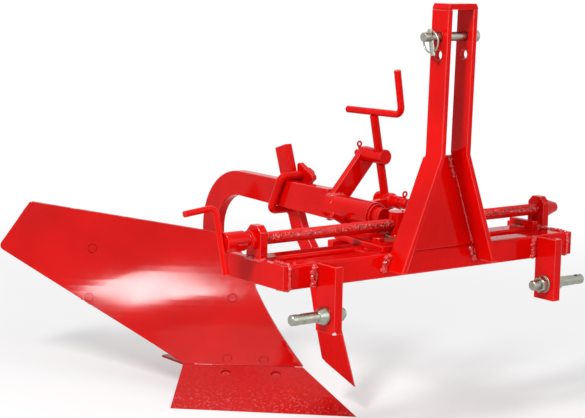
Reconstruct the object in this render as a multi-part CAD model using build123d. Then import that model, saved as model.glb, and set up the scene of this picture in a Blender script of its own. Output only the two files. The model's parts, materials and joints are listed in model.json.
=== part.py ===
from build123d import *
import os
from math import atan2, cos, hypot, radians, sin

# Single-furrow mounted moldboard plough, right-hand, with a screw-offset carriage and a screw-set tilt.
# Millimetres. +Z up, +Y to the rear (the plough is towed towards -Y), +X to the unploughed land.
# Places are first given from the headstock: x from its middle, y from the front rail's front face,
# z from the ground. The last section moves everything to the library's origin, the middle of the
# foot of the whole plough's box.

# ---------------------------------------------------------------- driving dimensions
HEAD_WIDTH = 800          # over the two end plates
RAIL = 50                 # square tube of both rails
RAIL_WALL = 5
RAIL_FOOT = 365.5         # underside of the rails above the ground
RAIL_TOP = RAIL_FOOT + RAIL
RAIL_GAP = 40             # slot between the rails
END_PLATE = 15            # thickness
END_PLATE_LENGTH = 190

LINK_BRACKET = (20, 60, 136.5)      # thickness, depth, height
LEFT_BRACKET_FACE = -318            # outer faces of the lower link brackets
RIGHT_BRACKET_FACE = 309
LINK_PIN_RADIUS = 11      # category 1 lower link pin
LINK_PIN_Y = -31
LINK_PIN_Z = RAIL_FOOT - 51.7
LINK_SHOULDER = 339       # where each collar's cone runs out
LINK_PIN_REACH = 66       # from shoulder to pin end
LINK_COLLAR = (18.5, 12.5, 15)      # radius at the bracket, radius at the shoulder, length of the cone
LINK_COTTER_RADIUS = 6
LINK_NUT = (32, 18)       # across flats, thickness
LINK_NUT_FLANGE = (19.2, 3)         # radius, thickness

MAST_TOP = RAIL_FOOT + 560
MAST_BEND = RAIL_FOOT + 250         # splayed below, upright above
MAST_FOOT = RAIL_FOOT + 16
MAST_BAR = (50, 12)                 # flat bar: depth, thickness
MAST_WIDTH = 81                     # over the upright legs
MAST_LEAN = 7                       # the top stands this far to the right of the bend
MAST_FEET = (-138, 126)             # outer face of each foot from the middle
MAST_GUSSET = 8                     # thickness of the plate behind the splayed legs
TOP_LINK_Z = (RAIL_FOOT + 455.5, RAIL_FOOT + 492.7)
TOP_PIN_RADIUS = 9.5
TOP_PIN_LEFT = -78        # its bare end
TOP_PIN_HEAD = (13.2, 19)           # radius, thickness
LINCH_X = -57             # linch pin through the top link pin
LINCH_RADIUS = 5.5
LINCH_LEAN = radians(12)
LINCH_RING = (21.8, 1.8)            # ring and wire radius

SPINDLE_Y = 105
SPINDLE_Z = RAIL_FOOT + 88
SPINDLE_RADIUS = 13
SPINDLE_BRACKET_Y = (27, 21.5)      # before and behind the spindle
SPINDLE_BRACKET = (68, 18, 13)      # height over the rails, thickness, cut corners
RIGHT_BRACKET_OUTER = HEAD_WIDTH / 2 + 5            # the right one stands out past its end plate
HUB_COLLAR = (20, 11)     # radius, length
HUB_NECK = (14.5, 13)
HUB_SOCKET = (20.5, 48)
HUB_LENGTH = HUB_COLLAR[1] + HUB_NECK[1] + HUB_SOCKET[1]
END_NUT = (23, 6, 39, 11)           # radius, length of its round part and cone, radius of its end
CARRIAGE_STOP = ((345, 358), (66, 142), 18)        # x, y, height
RUNNING_FIT = 0.06        # radial play of every shaft that turns or slides in a hole

CARRIAGE_X = -35          # middle of the carriage in the stored setting
CARRIAGE_PLATE = (202, 156, 12)     # width at the front and at the back, thickness
CARRIAGE_Y = (15, 205)
CRADLE_X = (-15, 33)      # of the saddle under the swivel tube, from the tube's middle
SLIDING_PLAY = 0.3        # between carriage and rails
POST_X = -20
POST_RADIUS = 22.5

TILT_X = CARRIAGE_X       # axis of the swivel tube, along Y
TILT_Z = RAIL_FOOT + 99.5
SWIVEL_RADIUS = 28.5
SHAFT_RADIUS = 20
TUBE_FRONT = 160
TUBE_REAR = 285
COLLAR_REAR = 313
SHAFT_FRONT = 130

BEAM_WIDTH = 25
BEAM_TOP = RAIL_FOOT + 138
BEAM_FOOT_FRONT = RAIL_FOOT + 72
BEAM_RADII = (150, 92)    # gooseneck outside and inside
BEAM_BEND_Y = 656         # where the straight beam turns down
BEAM_BEND_Z = BEAM_TOP - BEAM_RADII[0]
LEG_FOOT = 40

ARM_ANGLE = radians(48.5) # tilt arm over the horizontal
TILT_ARM_Y = (295, 311)
UPPER_PIVOT = (TILT_X + 80.8, TILT_Z + 113.5)      # x, z of the tilt nut
LOWER_PIVOT = (TILT_X + 101, TILT_Z + 14.5)        # x, z of the tilt screw's foot
SCREW_Y = 250
SCREW_RADIUS = 10
NUT_HOLE_RADIUS = 11.6    # opened, because the screw's swing follows the tilt at one constant ratio
NUT_RADIUS = 16.8
FOOT_RADIUS = 17.5
PIVOT_PIN_RADIUS = 7.5

COULTER_THICKNESS = 20
COULTER_DEPTH = 42        # of the shank
COULTER_EDGE = (3.5, 60)  # thickness left at the ground front edge, width of the grind
COULTER_CORNER = 4        # radius of the shank's front corners
COULTER_RAKE = 20.3       # degrees, shank from upright

SHARE_POINT = (-20, 226)  # x, y on the ground
SHARE_ANGLE = radians(47.3)         # cutting edge from the direction of travel
SHARE_PITCH = radians(24)
SHARE_LENGTH = 421        # along the cutting edge
SHARE_SLANT = 170.3        # up the share's face
SHARE_THICKNESS = 10
MOLD_SLANT = 171          # where the moldboard's curve begins
MOLD_START = radians(33)  # its slope there
MOLD_RADIUS = 450
MOLD_THICKNESS = 8
TAIL_CORNER = 12          # rounding of the moldboard's two rear corners
HEAD_RECESS = 3           # share bolts sit this far below the share's face
BOLT_HEAD = (10.3, 6, 6)  # plough bolt: radius at the face, depth of its cone, shank radius
BOLT_GAP = 0.8            # between a countersunk head and its seat
SEAT_THICKNESS = 12

parts = {}


# ---------------------------------------------------------------- small helpers
def block(x, y, z):
    """Box between two limits on each axis."""
    size = (x[1] - x[0], y[1] - y[0], z[1] - z[0])
    return Pos((x[0] + x[1]) / 2, (y[0] + y[1]) / 2, (z[0] + z[1]) / 2) * Box(*size)


def rod(start, end, radius, top_radius=None):
    """Round bar, or a cone, from one point to another."""
    path = Vector(*end) - Vector(*start)
    place = Plane(origin=start, z_dir=path).location
    centred = (Align.CENTER, Align.CENTER, Align.MIN)
    if top_radius is None:
        return place * Cylinder(radius, path.length, align=centred)
    return place * Cone(radius, top_radius, path.length, align=centred)


def hexagon(start, end, across_flats):
    """Hexagonal nut or bolt head from one point to another, its corners chamfered at the far end."""
    path = Vector(*end) - Vector(*start)
    place = Plane(origin=start, z_dir=path).location
    corner = across_flats / 2 / cos(radians(30))
    chamfer = corner * 0.12
    centred = (Align.CENTER, Align.CENTER, Align.MIN)
    turned = Cylinder(corner + 0.1, path.length - chamfer, align=centred)
    turned += Pos(0, 0, path.length - chamfer) * Cone(corner, across_flats * 0.47, chamfer, align=centred)
    bar = extrude(RegularPolygon(across_flats / 2, 6, major_radius=False), path.length)
    return place * (bar & turned)


def side_plate(outline, x):
    """Plate across X, its outline given as (y, z) points."""
    face = make_face(Polyline(*[(x[0], y, z) for y, z in outline], close=True))
    return extrude(face, x[1] - x[0], dir=(1, 0, 0))


def cross_plate(outline, y):
    """Plate across Y, its outline given as (x, z) points."""
    face = make_face(Polyline(*[(px, y[0], pz) for px, pz in outline], close=True))
    return extrude(face, y[1] - y[0], dir=(0, 1, 0))


def bent_rod(points, radius, bend):
    """Round bar bent to one radius at every corner."""
    path = FilletPolyline(*points, radius=bend)
    start = Plane(origin=path @ 0, z_dir=path % 0)
    return sweep(start * Circle(radius), path=path)


def split_pin(foot, across, rise=14, wire=2.1):
    """Split pin: a leg down the hole from its foot and an eye above it."""
    x, y, z = foot
    dx, dy = across
    ring = Plane(origin=(x, y, z + rise * 0.62), z_dir=(dy, -dx, 0)).location * Torus(rise * 0.38, wire)
    return ring + rod((x, y, z - 4), (x, y, z + rise * 0.26), wire * 1.3)


def mirrored(solid):
    """The same piece on the other side of the headstock's middle."""
    return mirror(solid, about=Plane.YZ)


# ---------------------------------------------------------------- headstock
def rail(y):
    outer = Plane.YZ * Pos(y + RAIL / 2, RAIL_FOOT + RAIL / 2) * RectangleRounded(RAIL, RAIL, 6)
    bore = RAIL - 2 * RAIL_WALL
    inner = Plane.YZ * Pos(y + RAIL / 2, RAIL_FOOT + RAIL / 2) * RectangleRounded(bore, bore, 2)
    length = HEAD_WIDTH - 2 * END_PLATE
    return Pos(-length / 2, 0, 0) * extrude(outer - inner, length, dir=(1, 0, 0))


def end_plate():
    return block((HEAD_WIDTH / 2 - END_PLATE, HEAD_WIDTH / 2), (0, END_PLATE_LENGTH), (RAIL_FOOT, RAIL_TOP))


def spindle_bracket(outer, side):
    """Plate across the spindle on an end plate; its outer face looks to the given side."""
    height, thickness, cut = SPINDLE_BRACKET
    y, top = (SPINDLE_Y - SPINDLE_BRACKET_Y[0], SPINDLE_Y + SPINDLE_BRACKET_Y[1]), RAIL_TOP + height
    outline = [
        (y[0], RAIL_TOP), (y[1], RAIL_TOP), (y[1], top - cut),
        (y[1] - cut, top), (y[0] + cut, top), (y[0], top - cut),
    ]
    x = sorted((outer - side * thickness, outer))
    hole = rod(spindle_point(x[0] - 1), spindle_point(x[1] + 1), SPINDLE_RADIUS + 0.3)
    return side_plate(outline, x) - hole


def spindle_point(x):
    """Point on the axis of the offset spindle."""
    return (x, SPINDLE_Y, SPINDLE_Z)


def link_point(x):
    """Point on the axis of the lower link pins."""
    return (x, LINK_PIN_Y, LINK_PIN_Z)


def link_bracket(face, side):
    """Plate in front of the front rail; its outer face looks to the given side."""
    thickness, depth, tall = LINK_BRACKET
    x = sorted((face - side * thickness, face))
    plate = block(x, (-depth, 0), (RAIL_TOP - tall, RAIL_TOP))
    return plate - rod(link_point(x[0] - 1), link_point(x[1] + 1), LINK_PIN_RADIUS)


def link_pin(face, side, stud):
    """Lower link pin: stud through the bracket, turned collar with its cone, then the bare pin."""
    shoulder = side * LINK_SHOULDER
    tip = shoulder + side * LINK_PIN_REACH
    inner = face - side * LINK_BRACKET[0]
    cotter_x = shoulder + side * (LINK_PIN_REACH - 23)
    radius, low_radius, cone = LINK_COLLAR
    cone_foot = shoulder - side * cone
    pin = rod(link_point(inner - side * (stud - 2)), link_point(tip - side * 3), LINK_PIN_RADIUS)
    pin += rod(link_point(inner - side * (stud - 2)), link_point(inner - side * stud), LINK_PIN_RADIUS, 9)
    pin += rod(link_point(tip - side * 3), link_point(tip), LINK_PIN_RADIUS, LINK_PIN_RADIUS - 3)
    pin += rod(link_point(face), link_point(cone_foot), radius)
    pin += rod(link_point(cone_foot), link_point(shoulder), radius, low_radius)
    return pin - rod((cotter_x, LINK_PIN_Y, LINK_PIN_Z - 20), (cotter_x, LINK_PIN_Y, LINK_PIN_Z + 20),
                     LINK_COTTER_RADIUS)


def link_nut(face, side):
    """Flanged nut on the bracket's inner face."""
    flats, thickness = LINK_NUT
    flange_radius, flange = LINK_NUT_FLANGE
    inner = face - side * LINK_BRACKET[0]
    outer = inner - side * thickness
    nut = hexagon(link_point(inner), link_point(outer), flats)
    nut += rod(link_point(inner), link_point(inner - side * flange), flange_radius)
    return nut - rod(link_point(inner), link_point(outer), LINK_PIN_RADIUS + 0.02)


def mast_x(z):
    """Middle between the mast's legs at a height."""
    return MAST_LEAN * max(0, z - MAST_BEND) / (MAST_TOP - MAST_BEND)


def mast_leg(foot, side):
    """Flat bar, splayed from its foot on the front rail and upright above the bend."""
    depth, thickness = MAST_BAR
    outer = side * MAST_WIDTH / 2
    inner = outer - side * thickness
    top = MAST_TOP - thickness
    lean = mast_x(top)
    rake = atan2(abs(foot) - MAST_WIDTH / 2, MAST_BEND - MAST_FOOT)
    foot_inner = foot - side * thickness / cos(rake)
    leg = cross_plate([(foot, MAST_FOOT), (outer, MAST_BEND), (outer + lean, top), (inner + lean, top),
                       (inner, MAST_BEND), (foot_inner, MAST_FOOT)], (-depth, 0))
    reach = side * (MAST_WIDTH / 2 + 10)
    for z in TOP_LINK_Z:
        leg -= rod((0, -depth / 2, z), (mast_x(z) + reach, -depth / 2, z), TOP_PIN_RADIUS + 0.3)
    return leg


def mast_cap():
    """Bar across the top of both legs, its upper corners bevelled."""
    depth, thickness = MAST_BAR
    foot = MAST_TOP - thickness
    left, right = mast_x(foot) - MAST_WIDTH / 2, mast_x(foot) + MAST_WIDTH / 2
    wide, deep = 5, 9
    outline = [
        (left, foot), (left, MAST_TOP - deep), (left + wide, MAST_TOP),
        (right - wide, MAST_TOP), (right, MAST_TOP - deep), (right, foot),
    ]
    return cross_plate(outline, (-depth, 0))


def mast_gusset():
    """Plate behind the splayed legs, standing on the front rail."""
    half = MAST_WIDTH / 2
    run = (RAIL_TOP - MAST_FOOT) / (MAST_BEND - MAST_FOOT)
    left = MAST_FEET[0] + run * (-half - MAST_FEET[0])
    right = MAST_FEET[1] + run * (half - MAST_FEET[1])
    top = MAST_BEND - 6
    outline = [(left + 3, RAIL_TOP), (right - 3, RAIL_TOP), (half - 1, top), (-half + 1, top)]
    return cross_plate(outline, (0, MAST_GUSSET))


def top_pin_point(x, along=0.0):
    """Point beside the upper top link pin, a distance up the linch pin's leaning line."""
    return (x, -MAST_BAR[0] / 2 + along * sin(LINCH_LEAN), TOP_LINK_Z[1] + along * cos(LINCH_LEAN))


def top_link_pin():
    radius, thickness = TOP_PIN_HEAD
    face = mast_x(TOP_LINK_Z[1]) + MAST_WIDTH / 2 + 1
    pin = rod(top_pin_point(TOP_PIN_LEFT), top_pin_point(face), TOP_PIN_RADIUS)
    pin += rod(top_pin_point(face), top_pin_point(face + thickness), radius)
    return pin - rod(top_pin_point(LINCH_X, -20), top_pin_point(LINCH_X, 20), LINCH_RADIUS + 0.1)


def linch_pin():
    """Drop-nose pin through the top link pin with its sprung ring lying over it."""
    shank = rod(top_pin_point(LINCH_X, -39), top_pin_point(LINCH_X, 16), LINCH_RADIUS)
    ring_radius, wire = LINCH_RING
    x, y, z = top_pin_point(LINCH_X)
    ring = Plane(origin=(x, y, z + 12 - ring_radius), z_dir=(1, 0, 0)).location * Torus(ring_radius, wire)
    return shank, ring


def carriage_stop():
    x, y, height = CARRIAGE_STOP
    return block(x, y, (RAIL_TOP, RAIL_TOP + height))


def spindle_hub():
    """Collar against the left spindle bracket, then a neck and the slit socket of the crank."""
    place = -HEAD_WIDTH / 2
    hub = []
    for radius, length in (HUB_COLLAR, HUB_NECK, HUB_SOCKET):
        hub.append(rod(spindle_point(place), spindle_point(place - length), radius))
        place -= length
    mouth = -HEAD_WIDTH / 2 - HUB_COLLAR[1] - HUB_NECK[1]
    slit = block((mouth - 24, mouth + 1), (SPINDLE_Y - 30, SPINDLE_Y), (SPINDLE_Z - 4, SPINDLE_Z))
    bore = rod(spindle_point(place + 12), spindle_point(-HEAD_WIDTH / 2 + 1), SPINDLE_RADIUS)
    return hub[0] + hub[1] + hub[2] - slit - bore


def spindle_crank():
    """Bent round bar welded across the hub's outer end."""
    wire = 6.5
    x = -HEAD_WIDTH / 2 - HUB_LENGTH - wire - 0.1
    lean = radians(16.5)
    down, up = 64, 72

    def along(distance):
        return (x, SPINDLE_Y - 3 + distance * sin(lean), SPINDLE_Z + distance * cos(lean))

    top = along(up)
    return bent_rod([along(-down), top, (top[0] - 74, top[1], top[2] - 8)], wire, 16)


def spindle_end_nut():
    """Blind nut on the right end of the spindle, turned down to a cone."""
    radius, round_length, cone_length, end_radius = END_NUT
    shoulder = RIGHT_BRACKET_OUTER + round_length
    nut = rod(spindle_point(RIGHT_BRACKET_OUTER), spindle_point(shoulder), radius)
    nut += rod(spindle_point(shoulder), spindle_point(shoulder + cone_length), radius, end_radius)
    return nut - rod(spindle_point(RIGHT_BRACKET_OUTER - 1), spindle_point(shoulder), SPINDLE_RADIUS)


def build_headstock():
    parts["front_rail"] = rail(0)
    parts["rear_rail"] = rail(RAIL + RAIL_GAP)
    parts["right_end_plate"] = end_plate()
    parts["left_end_plate"] = mirrored(end_plate())
    brackets = (RIGHT_BRACKET_OUTER, 1), (-HEAD_WIDTH / 2, -1)
    parts["spindle_brackets"] = [spindle_bracket(outer, side) for outer, side in brackets]
    parts["left_link_bracket"] = link_bracket(LEFT_BRACKET_FACE, -1)
    parts["right_link_bracket"] = link_bracket(RIGHT_BRACKET_FACE, 1)
    parts["left_link_pin"] = link_pin(LEFT_BRACKET_FACE, -1, 27)
    parts["right_link_pin"] = link_pin(RIGHT_BRACKET_FACE, 1, 38)
    parts["link_pin_nuts"] = [link_nut(LEFT_BRACKET_FACE, -1), link_nut(RIGHT_BRACKET_FACE, 1)]
    parts["left_mast_leg"] = mast_leg(MAST_FEET[0], -1)
    parts["right_mast_leg"] = mast_leg(MAST_FEET[1], 1)
    parts["mast_cap"] = mast_cap()
    parts["mast_gusset"] = mast_gusset()
    parts["top_link_pin"] = top_link_pin()
    shank, ring = linch_pin()
    parts["linch_pin"] = shank
    parts["linch_ring"] = ring - shank
    parts["carriage_stop"] = carriage_stop()
    spindle_start, spindle_end = -HEAD_WIDTH / 2 - 58, RIGHT_BRACKET_OUTER + END_NUT[1]
    parts["offset_spindle"] = rod(spindle_point(spindle_start), spindle_point(spindle_end), SPINDLE_RADIUS)
    parts["spindle_hub"] = spindle_hub()
    parts["spindle_crank"] = spindle_crank()
    parts["spindle_end_nut"] = spindle_end_nut()


# ---------------------------------------------------------------- offset carriage
def carriage_bolt_places():
    return [CARRIAGE_X - 67, CARRIAGE_X + 67]


def build_carriage():
    front_width, rear_width, thickness = CARRIAGE_PLATE
    x = (CARRIAGE_X - front_width / 2, CARRIAGE_X + front_width / 2)
    y = CARRIAGE_Y
    foot = RAIL_TOP + SLIDING_PLAY
    top = foot + thickness
    middle = RAIL + RAIL_GAP / 2
    holes = [rod((bx, middle, RAIL_FOOT - 40), (bx, middle, top + 1), 8.2) for bx in carriage_bolt_places()]

    rear = (CARRIAGE_X - rear_width / 2, CARRIAGE_X + rear_width / 2)
    corners = ((x[0], y[0], foot), (x[1], y[0], foot), (rear[1], y[1], foot), (rear[0], y[1], foot))
    plate = extrude(make_face(Polyline(*corners, close=True)), thickness, dir=(0, 0, 1))
    slot = (RAIL + 0.5, RAIL + RAIL_GAP - 0.5)
    inset = (RAIL + 4, RAIL + RAIL_GAP - 4)
    guide = block((CARRIAGE_X - 115, CARRIAGE_X + 115), slot, (RAIL_FOOT, RAIL_TOP - 3))
    guide += block((CARRIAGE_X - 92, CARRIAGE_X + 92), inset, (RAIL_FOOT - SLIDING_PLAY, foot))
    clamp = block(x, (middle - 32, middle + 32), (RAIL_FOOT - SLIDING_PLAY - 8, RAIL_FOOT - SLIDING_PLAY))
    for hole in holes:
        plate -= hole
        guide -= hole
        clamp -= hole
    parts["carriage_plate"] = plate
    parts["guide_block"] = guide
    parts["clamp_plate"] = clamp

    bolts = []
    for bx in carriage_bolt_places():
        bolt = hexagon((bx, middle, top), (bx, middle, top + 9), 24)
        bolts.append(bolt + rod((bx, middle, RAIL_FOOT - 10), (bx, middle, top), 8))
    parts["carriage_bolts"] = bolts

    bar_y = (179, 198)
    parts["rear_cross_bar"] = block(x, bar_y, (RAIL_TOP - 20, foot))

    post = rod((POST_X, SPINDLE_Y - 3, top), (POST_X, SPINDLE_Y - 3, RAIL_FOOT + 116), POST_RADIUS)
    post -= rod((POST_X - 40, SPINDLE_Y, SPINDLE_Z), (POST_X + 40, SPINDLE_Y, SPINDLE_Z),
                SPINDLE_RADIUS + RUNNING_FIT)
    parts["spindle_nut_post"] = post

    tube = rod((TILT_X, TUBE_FRONT, TILT_Z), (TILT_X, TUBE_REAR, TILT_Z), SWIVEL_RADIUS)
    bore = rod((TILT_X, TUBE_FRONT - 1, TILT_Z), (TILT_X, TUBE_REAR + 1, TILT_Z), SHAFT_RADIUS + RUNNING_FIT)
    parts["swivel_tube"] = tube - bore

    around = rod((TILT_X, TUBE_FRONT - 5, TILT_Z), (TILT_X, TUBE_REAR, TILT_Z), SWIVEL_RADIUS)
    cradle_x = (TILT_X + CRADLE_X[0], TILT_X + CRADLE_X[1])
    cradle = block(cradle_x, (TUBE_FRONT + 4, y[1]), (top, TILT_Z - 12)) - around
    strut = side_plate([(bar_y[1], RAIL_TOP - 15), (y[1] + 30, TILT_Z - 34), (y[1] + 30, TILT_Z - 20),
                        (y[1], TILT_Z - 20), (y[1], foot), (bar_y[1], foot)],
                       (TILT_X - 8, TILT_X + 8)) - around
    parts["tube_cradle"] = cradle + strut

    x_low, z_low = LOWER_PIVOT
    lug_y = (SCREW_Y - 24, SCREW_Y - 12)
    lug_end = 18
    lug = cross_plate([(TILT_X + 8, TILT_Z - 24), (TILT_X + 8, TILT_Z + 15), (x_low, z_low + 9),
                       (x_low, z_low - lug_end), (x_low - 30, z_low - lug_end - 6)], lug_y)
    lug += rod((x_low, lug_y[0], z_low), (x_low, lug_y[1], z_low), lug_end)
    lug -= around
    pin_hole = rod((x_low, 150, z_low), (x_low, 300, z_low), PIVOT_PIN_RADIUS + RUNNING_FIT)
    boss = rod((x_low, lug_y[0] - 30, z_low), (x_low, lug_y[0], z_low), 14.5)
    parts["screw_lug"] = lug + boss - pin_hole

    bar = rod((TILT_X - 60, 238, TILT_Z - 4), (TILT_X - 12, 238, TILT_Z - 32), 6)
    parts["tube_lock_bar"] = bar - around


# ---------------------------------------------------------------- furrow surface
# Its own frame: x along the cutting edge from point to wing, y forward out of the working face, z up.
def furrow_frame():
    edge = (-sin(SHARE_ANGLE), cos(SHARE_ANGLE), 0)
    return Plane(origin=(*SHARE_POINT, 0), x_dir=edge, z_dir=(0, 0, 1))


FURROW = furrow_frame()
JOINT_Y = -MOLD_SLANT * cos(SHARE_PITCH)
JOINT_Z = MOLD_SLANT * sin(SHARE_PITCH)
CURVE_Y = JOINT_Y + MOLD_RADIUS * sin(MOLD_START)
CURVE_Z = JOINT_Z + MOLD_RADIUS * cos(MOLD_START)


def on_share(slant):
    """Foot point and outward normal of the share's face at a distance up its slant."""
    return (-slant * cos(SHARE_PITCH), slant * sin(SHARE_PITCH)), (sin(SHARE_PITCH), cos(SHARE_PITCH))


def on_mold(slant):
    """The same on the moldboard's curved face."""
    slope = MOLD_START + (slant - MOLD_SLANT) / MOLD_RADIUS
    return ((CURVE_Y - MOLD_RADIUS * sin(slope), CURVE_Z - MOLD_RADIUS * cos(slope)),
            (sin(slope), cos(slope)))


def height(slant):
    return on_mold(slant)[0][1]


def curved_shell(near, far, x):
    """Shell behind the moldboard's face between two depths."""
    outer = rod((x[0], CURVE_Y, CURVE_Z), (x[1], CURVE_Y, CURVE_Z), MOLD_RADIUS + far)
    inner = rod((x[0] - 1, CURVE_Y, CURVE_Z), (x[1] + 1, CURVE_Y, CURVE_Z), MOLD_RADIUS + near)
    return outer - inner


def behind_only(outline_face):
    """Prism through the working side of the curve, from an outline in (x, z)."""
    return extrude(outline_face, MOLD_RADIUS + 60, dir=(0, -1, 0))


def outline_face(edges):
    return make_face([edge.moved(Pos(0, CURVE_Y - 60, 0)) for edge in edges])


def share_slab(outline, near, far):
    """Flat slab under the share's face, its outline given as (along, up the slant)."""
    face_plane = Plane(origin=(0, 0, 0), x_dir=(1, 0, 0), z_dir=(0, sin(SHARE_PITCH), cos(SHARE_PITCH)))
    face = face_plane.offset(-near) * make_face(Polyline(*[(x, -up) for x, up in outline], close=True))
    return extrude(face, far - near, dir=tuple(-v for v in face_plane.z_dir))


def in_front(depth):
    """Everything before the working surfaces, out to a depth behind them."""
    curve = rod((-300, CURVE_Y, CURVE_Z), (1200, CURVE_Y, CURVE_Z), MOLD_RADIUS + depth)
    end = MOLD_SLANT + 12
    flat = share_slab([(-300, -200), (1200, -200), (1200, end), (-300, end)], -400, depth)
    return (curve + flat).moved(FURROW.location)


def plough_bolt(point, normal, x, recess, grip):
    """Countersunk bolt, its head flush with the working face or a little below it and dimpled there,
    with its nut behind."""
    inward = Vector(0, -normal[0], -normal[1])
    head = Vector(x, *point) + inward * recess
    radius, cone, shank = BOLT_HEAD

    def at(depth):
        return tuple(head + inward * depth)

    bolt = rod(at(0), at(cone), radius, shank) + rod(at(cone), at(grip + 16), shank)
    bolt += hexagon(at(grip), at(grip + 10), 17)
    if recess:
        bolt -= rod(at(-1), at(2.5), 3.2, 2)
    hole = rod(at(-5), at(0), radius + BOLT_GAP)
    hole += rod(at(0), at(cone), radius + BOLT_GAP, shank + BOLT_GAP)
    hole += rod(at(cone - 1), at(grip), shank + 0.2)
    return bolt, hole


# flush bolts: face, distance along the edge, distance up the slant
FACE_BOLTS = (
    ("share", 197, 140), ("share", 313, 137), ("mold", 230, 188), ("mold", 316, 188),
    ("mold", 321, 356), ("mold", 673, 466), ("mold", 669, 343),
)


def moldboard_outline():
    shin = ThreePointArc((137, 0, height(MOLD_SLANT)), (248, 0, height(347)), (323, 0, height(511)))
    top = Line((323, 0, height(511)), (834, 0, height(576)))
    tail = Line((834, 0, height(576)), (907, 0, height(462)))
    foot = ThreePointArc((907, 0, height(462)), (657, 0, height(320)), (417, 0, height(MOLD_SLANT) - 3))
    joint = Line((417, 0, height(MOLD_SLANT) - 3), (137, 0, height(MOLD_SLANT)))
    return [shin, top, tail, foot, joint]


def build_plough_bottom():
    shell = curved_shell(0, MOLD_THICKNESS, (60, 960))
    outline = outline_face(moldboard_outline())
    tail_corners = outline.vertices().filter_by(lambda corner: corner.X > 800)
    moldboard = shell & behind_only(fillet(tail_corners, TAIL_CORNER))
    share = share_slab([(0, 0), (SHARE_LENGTH, 0), (SHARE_LENGTH - 4, SHARE_SLANT - 6), (137, SHARE_SLANT)],
                       0, SHARE_THICKNESS)
    share = share & block((-50, 600), (-400, 100), (0, 200))
    share_seat = share_slab([(128, 76), (350, 76), (350, SHARE_SLANT - 8), (160, SHARE_SLANT - 8)],
                            SHARE_THICKNESS, SHARE_THICKNESS + SEAT_THICKNESS)
    seat_outline = Polyline((196, 0, height(183)), (262, 0, height(330)), (272, 0, height(400)),
                            (348, 0, height(400)), (376, 0, height(183)), close=True)
    mold_seat = (curved_shell(MOLD_THICKNESS, MOLD_THICKNESS + SEAT_THICKNESS, (100, 500))
                 & behind_only(make_face(seat_outline.moved(Pos(0, CURVE_Y - 60, 0)))))
    pad_outline = Polyline((656, 0, height(333)), (655, 0, height(484)), (691, 0, height(484)),
                           (690, 0, height(333)), close=True)
    pad = (curved_shell(MOLD_THICKNESS, MOLD_THICKNESS + 8, (600, 740))
           & behind_only(make_face(pad_outline.moved(Pos(0, CURVE_Y - 60, 0)))))

    bolts = []
    for face, x, slant in FACE_BOLTS:
        point, normal = on_share(slant) if face == "share" else on_mold(slant)
        thickness = SHARE_THICKNESS if face == "share" else MOLD_THICKNESS
        backing = 8 if x > 600 else SEAT_THICKNESS
        recess = HEAD_RECESS if face == "share" else 0
        bolt, hole = plough_bolt(point, normal, x, recess, thickness + backing - recess)
        bolts.append(bolt.moved(FURROW.location))
        if face == "share":
            share -= hole
            share_seat -= hole
        else:
            moldboard -= hole
            mold_seat -= hole
            pad -= hole

    parts["share"] = share.moved(FURROW.location)
    parts["moldboard"] = moldboard.moved(FURROW.location)
    parts["share_seat"] = share_seat.moved(FURROW.location)
    parts["moldboard_seat"] = mold_seat.moved(FURROW.location)
    parts["stay_pad"] = pad.moved(FURROW.location)
    parts["face_bolts"] = bolts

    beam_x = (TILT_X - BEAM_WIDTH / 2, TILT_X + BEAM_WIDTH / 2)
    leg_front = BEAM_BEND_Y + BEAM_RADII[1]
    leg_rear = BEAM_BEND_Y + BEAM_RADII[0]
    clear = in_front(SHARE_THICKNESS + SEAT_THICKNESS + 0.2)

    rib = side_plate([(330, 14), (leg_front, 14), (leg_front, 330), (leg_front - 60, 330), (380, 60)],
                     (TILT_X - 8, TILT_X + 8))
    rib = rib - clear
    for bolt in parts["face_bolts"]:
        rib -= bolt
    parts["frog_rib"] = rib
    outer = block((-209, -186), (566, 735), (56.5, 62))
    parts["frog_outer_rib"] = outer - clear

    land_x = (beam_x[1], beam_x[1] + 12)
    landside = side_plate([(300, 0), (872, 0), (872, 60), (842, 96), (300, 96)], land_x)
    landside -= clear
    bolt_x = (beam_x[0] - 12, land_x[1])
    land_bolts = []
    for bolt_y in (leg_front + 15, leg_rear - 15):
        landside -= rod((bolt_x[0], bolt_y, 66), (bolt_x[1] + 1, bolt_y, 66), 8.2)
        bolt = rod((bolt_x[0] - 6, bolt_y, 66), (bolt_x[1], bolt_y, 66), 8)
        land_bolts.append(bolt + hexagon((bolt_x[0], bolt_y, 66), (beam_x[0], bolt_y, 66), 24))
    parts["landside"] = landside
    parts["landside_bolts"] = land_bolts

    stay = rod((beam_x[0] + 4, leg_rear - 26, 190), (-322, 925, 250), 9)
    stay -= block((beam_x[0], 200), (600, 900), (100, 300))
    stay -= in_front(MOLD_THICKNESS + 8 + 0.2)
    parts["moldboard_stay"] = stay


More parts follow.
